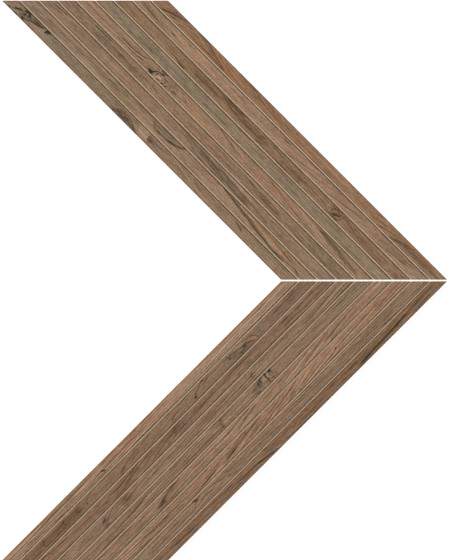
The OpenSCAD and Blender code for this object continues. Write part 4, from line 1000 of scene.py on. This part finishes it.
def filler_material():
    k = Sheet("cement_filler")
    side, _, _ = k.split(k.attr("joint_shade_dirt"))
    coord = k.new("ShaderNodeTexCoord").outputs["Object"]
    sand = k.noise(coord, 1400.0, 2.0, 0.6)
    cloud = k.noise(coord, 120.0, 2.0, 0.5)
    dirt = k.noise(coord, 260.0, 2.0, 0.5)
    t = k.math("MULTIPLY_ADD", sand, 0.3, k.math("MULTIPLY_ADD", cloud, 0.35, 0.175), clamp=True)
    color = k.mix(lin(218, 202, 176), lin(246, 235, 214), t)
    # painted shade and dirt: the side mask turns the filler brown towards the strips, most on the shaded left side of
    # each joint
    shade_and_grime = k.math("MULTIPLY", side, k.math("MULTIPLY_ADD", dirt, 0.15, 0.83), clamp=True)
    color = k.mix(color, lin(138, 102, 64), shade_and_grime)
    height = k.math("MULTIPLY_ADD", sand, 1.0, k.math("MULTIPLY", cloud, 0.5))
    rough = k.math("MULTIPLY_ADD", sand, 0.15, 0.80, clamp=True)
    return k.finish(color, rough, height, 0.00012, 0.6, 0.2)


def net_material():
    k = Sheet("coated_glass_net")
    coord = k.new("ShaderNodeTexCoord").outputs["Object"]
    strand = k.noise(coord, 2200.0, 1.0, 0.5)
    cloud = k.noise(coord, 70.0, 2.0, 0.5)
    color = k.mix(lin(214, 210, 198), lin(245, 243, 236), k.math("MULTIPLY_ADD", strand, 0.6, k.math("MULTIPLY_ADD", cloud, 0.6, -0.1), clamp=True))
    rough = k.math("MULTIPLY_ADD", cloud, 0.2, 0.5, clamp=True)
    return k.finish(color, rough, strand, 0.0001, 0.6, 0.4)


# ----------------------------------------------------------------------------
# The net: two layers of coated strands, bonded where they cross
# ----------------------------------------------------------------------------
def net_piece(material):
    lo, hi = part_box("backing_net")
    top = hi.z / MM
    left, right, high = lo.x / MM, hi.x / MM, hi.y / MM
    # the outline is two parallelograms that meet on the middle line
    wide = (right - left) - high  # of a bank along X
    cell = 7.0
    points, faces, tint, count = [], [], [], 0

    def strand(path, half_w, z_mid, half_z, seed):
        """A flat thread with six sides along a path in X and Y."""
        nonlocal count
        p = np.array(path, float)
        n = len(p)
        d = np.gradient(p, axis=0)
        d /= np.maximum(np.hypot(*d.T), 1e-9)[:, None]
        side = np.stack([-d[:, 1], d[:, 0]], -1)
        wob = 1 + 0.18 * noise(np.arange(n) * 0.7, 0, seed)
        ring = [(-1.0, 0.0), (-0.55, 0.9), (0.55, 0.9), (1.0, 0.0), (0.55, -0.9), (-0.55, -0.9)]
        for a, b in ring:
            xy = p + side * (a * half_w * wob)[:, None]
            points.append(np.column_stack([xy, np.full(n, z_mid + b * half_z)]) * MM)
        for k in range(6):
            a, b = count + k * n, count + ((k + 1) % 6) * n
            faces.extend((a + j, a + j + 1, b + j + 1, b + j) for j in range(n - 1))
        faces.append(tuple(count + k * n for k in range(6)))
        faces.append(tuple(count + k * n + n - 1 for k in reversed(range(6))))
        count += 6 * n

    # across the tile: left edge at height y is left + high - |y|
    row = 0
    y = cell / 2
    while y < high - 0.6:
        for sign in (1, -1):
            row += 1
            x_a, x_b = left + (high - y), left + (high - y) + wide
            m = max(3, int((x_b - x_a) / cell) + 1)
            xs = np.linspace(x_a + 0.5, x_b - 0.5, m)
            ys = sign * y + 0.22 * noise(xs / 23.0, row, 77)
            strand(np.stack([xs, ys], -1), 0.42, 0.19, 0.17, row)
        y += cell
    # along the tile: at x, |y| runs from the notch side to the nose side
    col = 0
    x = left + 1.5
    while x < right - 0.8:
        y_out = min(high, right - x)
        y_in = max(0.0, left + high - x)
        spans = [(-y_out, y_out)] if y_in <= 0.01 else [(y_in, y_out), (-y_out, -y_in)]
        for a, b in spans:
            if b - a < 2.0:
                continue
            col += 1
            m = max(3, int((b - a) / cell) + 1)
            ys = np.linspace(a + 0.4, b - 0.4, m)
            xs = x + 0.22 * noise(ys / 19.0, col, 78)
            strand(np.stack([xs, ys], -1), 0.30, 0.33, 0.15, 500 + col)
        x += cell
    piece = add_mesh("net_strands", np.concatenate(points), faces, material, sharp=60.0)
    piece.data.transform(piece.matrix_world)
    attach(piece, "root")
    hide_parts("backing_net")
    return piece


# ----------------------------------------------------------------------------
# Build
# ----------------------------------------------------------------------------
wood = strip_material()
for bank in ("upper", "lower"):
    for i in range(1, 10):
        strip_piece(bank, i, wood)
cement = filler_material()
filler_piece("upper", cement)
filler_piece("lower", cement)
net_piece(net_material())

# ----------------------------------------------------------------------------
# Floor, light and camera
# ----------------------------------------------------------------------------
def floor_material():
    k = Sheet("pale_floor")
    coord = k.new("ShaderNodeTexCoord").outputs["Object"]
    cloud = k.noise(coord, 3.0, 2.0, 0.5)
    diffuse = k.new("ShaderNodeBsdfDiffuse")
    k.feed(diffuse.inputs["Color"], k.mix((0.20, 0.20, 0.20, 1), (0.22, 0.22, 0.22, 1), cloud))
    glow = k.new("ShaderNodeEmission")
    glow.inputs["Strength"].default_value = 0.93
    both = k.new("ShaderNodeAddShader")
    k.nt.links.new(diffuse.outputs[0], both.inputs[0])
    k.nt.links.new(glow.outputs[0], both.inputs[1])
    out = k.new("ShaderNodeOutputMaterial")
    k.nt.links.new(both.outputs[0], out.inputs["Surface"])
    return k.mat


def floor_piece():
    size, step = 60.0, 12
    line_ = np.linspace(-size, size, step + 1)
    x, y = np.meshgrid(line_, line_, indexing="ij")
    points = np.stack([x, y, np.full(x.shape, -0.0002)], -1).reshape(-1, 3)
    idx = np.arange(x.size).reshape(x.shape)
    quads = [
        tuple(int(q) for q in quad)
        for quad in zip(idx[:-1, :-1].ravel(), idx[1:, :-1].ravel(), idx[1:, 1:].ravel(), idx[:-1, 1:].ravel())
    ]
    return add_mesh("floor", points, quads, floor_material())


floor = floor_piece()

scene = bpy.context.scene
scene.view_settings.view_transform = "Standard"
scene.view_settings.look = "None"

world = bpy.data.worlds.new("studio")
scene.world = world
world.use_nodes = True
nt = world.node_tree
nt.nodes.clear()
path = nt.nodes.new("ShaderNodeLightPath")
soft = nt.nodes.new("ShaderNodeBackground")
soft.inputs["Color"].default_value = (1.0, 0.99, 0.98, 1)
soft.inputs["Strength"].default_value = 0.34
white = nt.nodes.new("ShaderNodeBackground")
white.inputs["Color"].default_value = (1, 1, 1, 1)
white.inputs["Strength"].default_value = 1.0
pick = nt.nodes.new("ShaderNodeMixShader")
out = nt.nodes.new("ShaderNodeOutputWorld")
nt.links.new(path.outputs["Is Camera Ray"], pick.inputs[0])
nt.links.new(soft.outputs[0], pick.inputs[1])
nt.links.new(white.outputs[0], pick.inputs[2])
nt.links.new(pick.outputs[0], out.inputs["Surface"])

# a key light from the left, 55 degrees off the vertical
key = bpy.data.lights.new("key", "SUN")
tilt = math.radians(55)
key.energy = 0.67 * math.pi / math.cos(tilt)
key.angle = math.radians(7)
key.color = (1.0, 0.985, 0.96)
key_piece = bpy.data.objects.new("key", key)
key_piece.rotation_euler = (0.0, -tilt, 0.0)
scene.collection.objects.link(key_piece)

lens = bpy.data.cameras.new("camera")
lens.lens = 400.0
lens.sensor_width = 36.0
lens.clip_start = 0.1
lens.clip_end = 300.0
camera = bpy.data.objects.new("camera", lens)
camera.location = (0.0, 0.00078, 0.010 + 9.381)
scene.collection.objects.link(camera)
scene.camera = camera

bpy.context.view_layer.update()
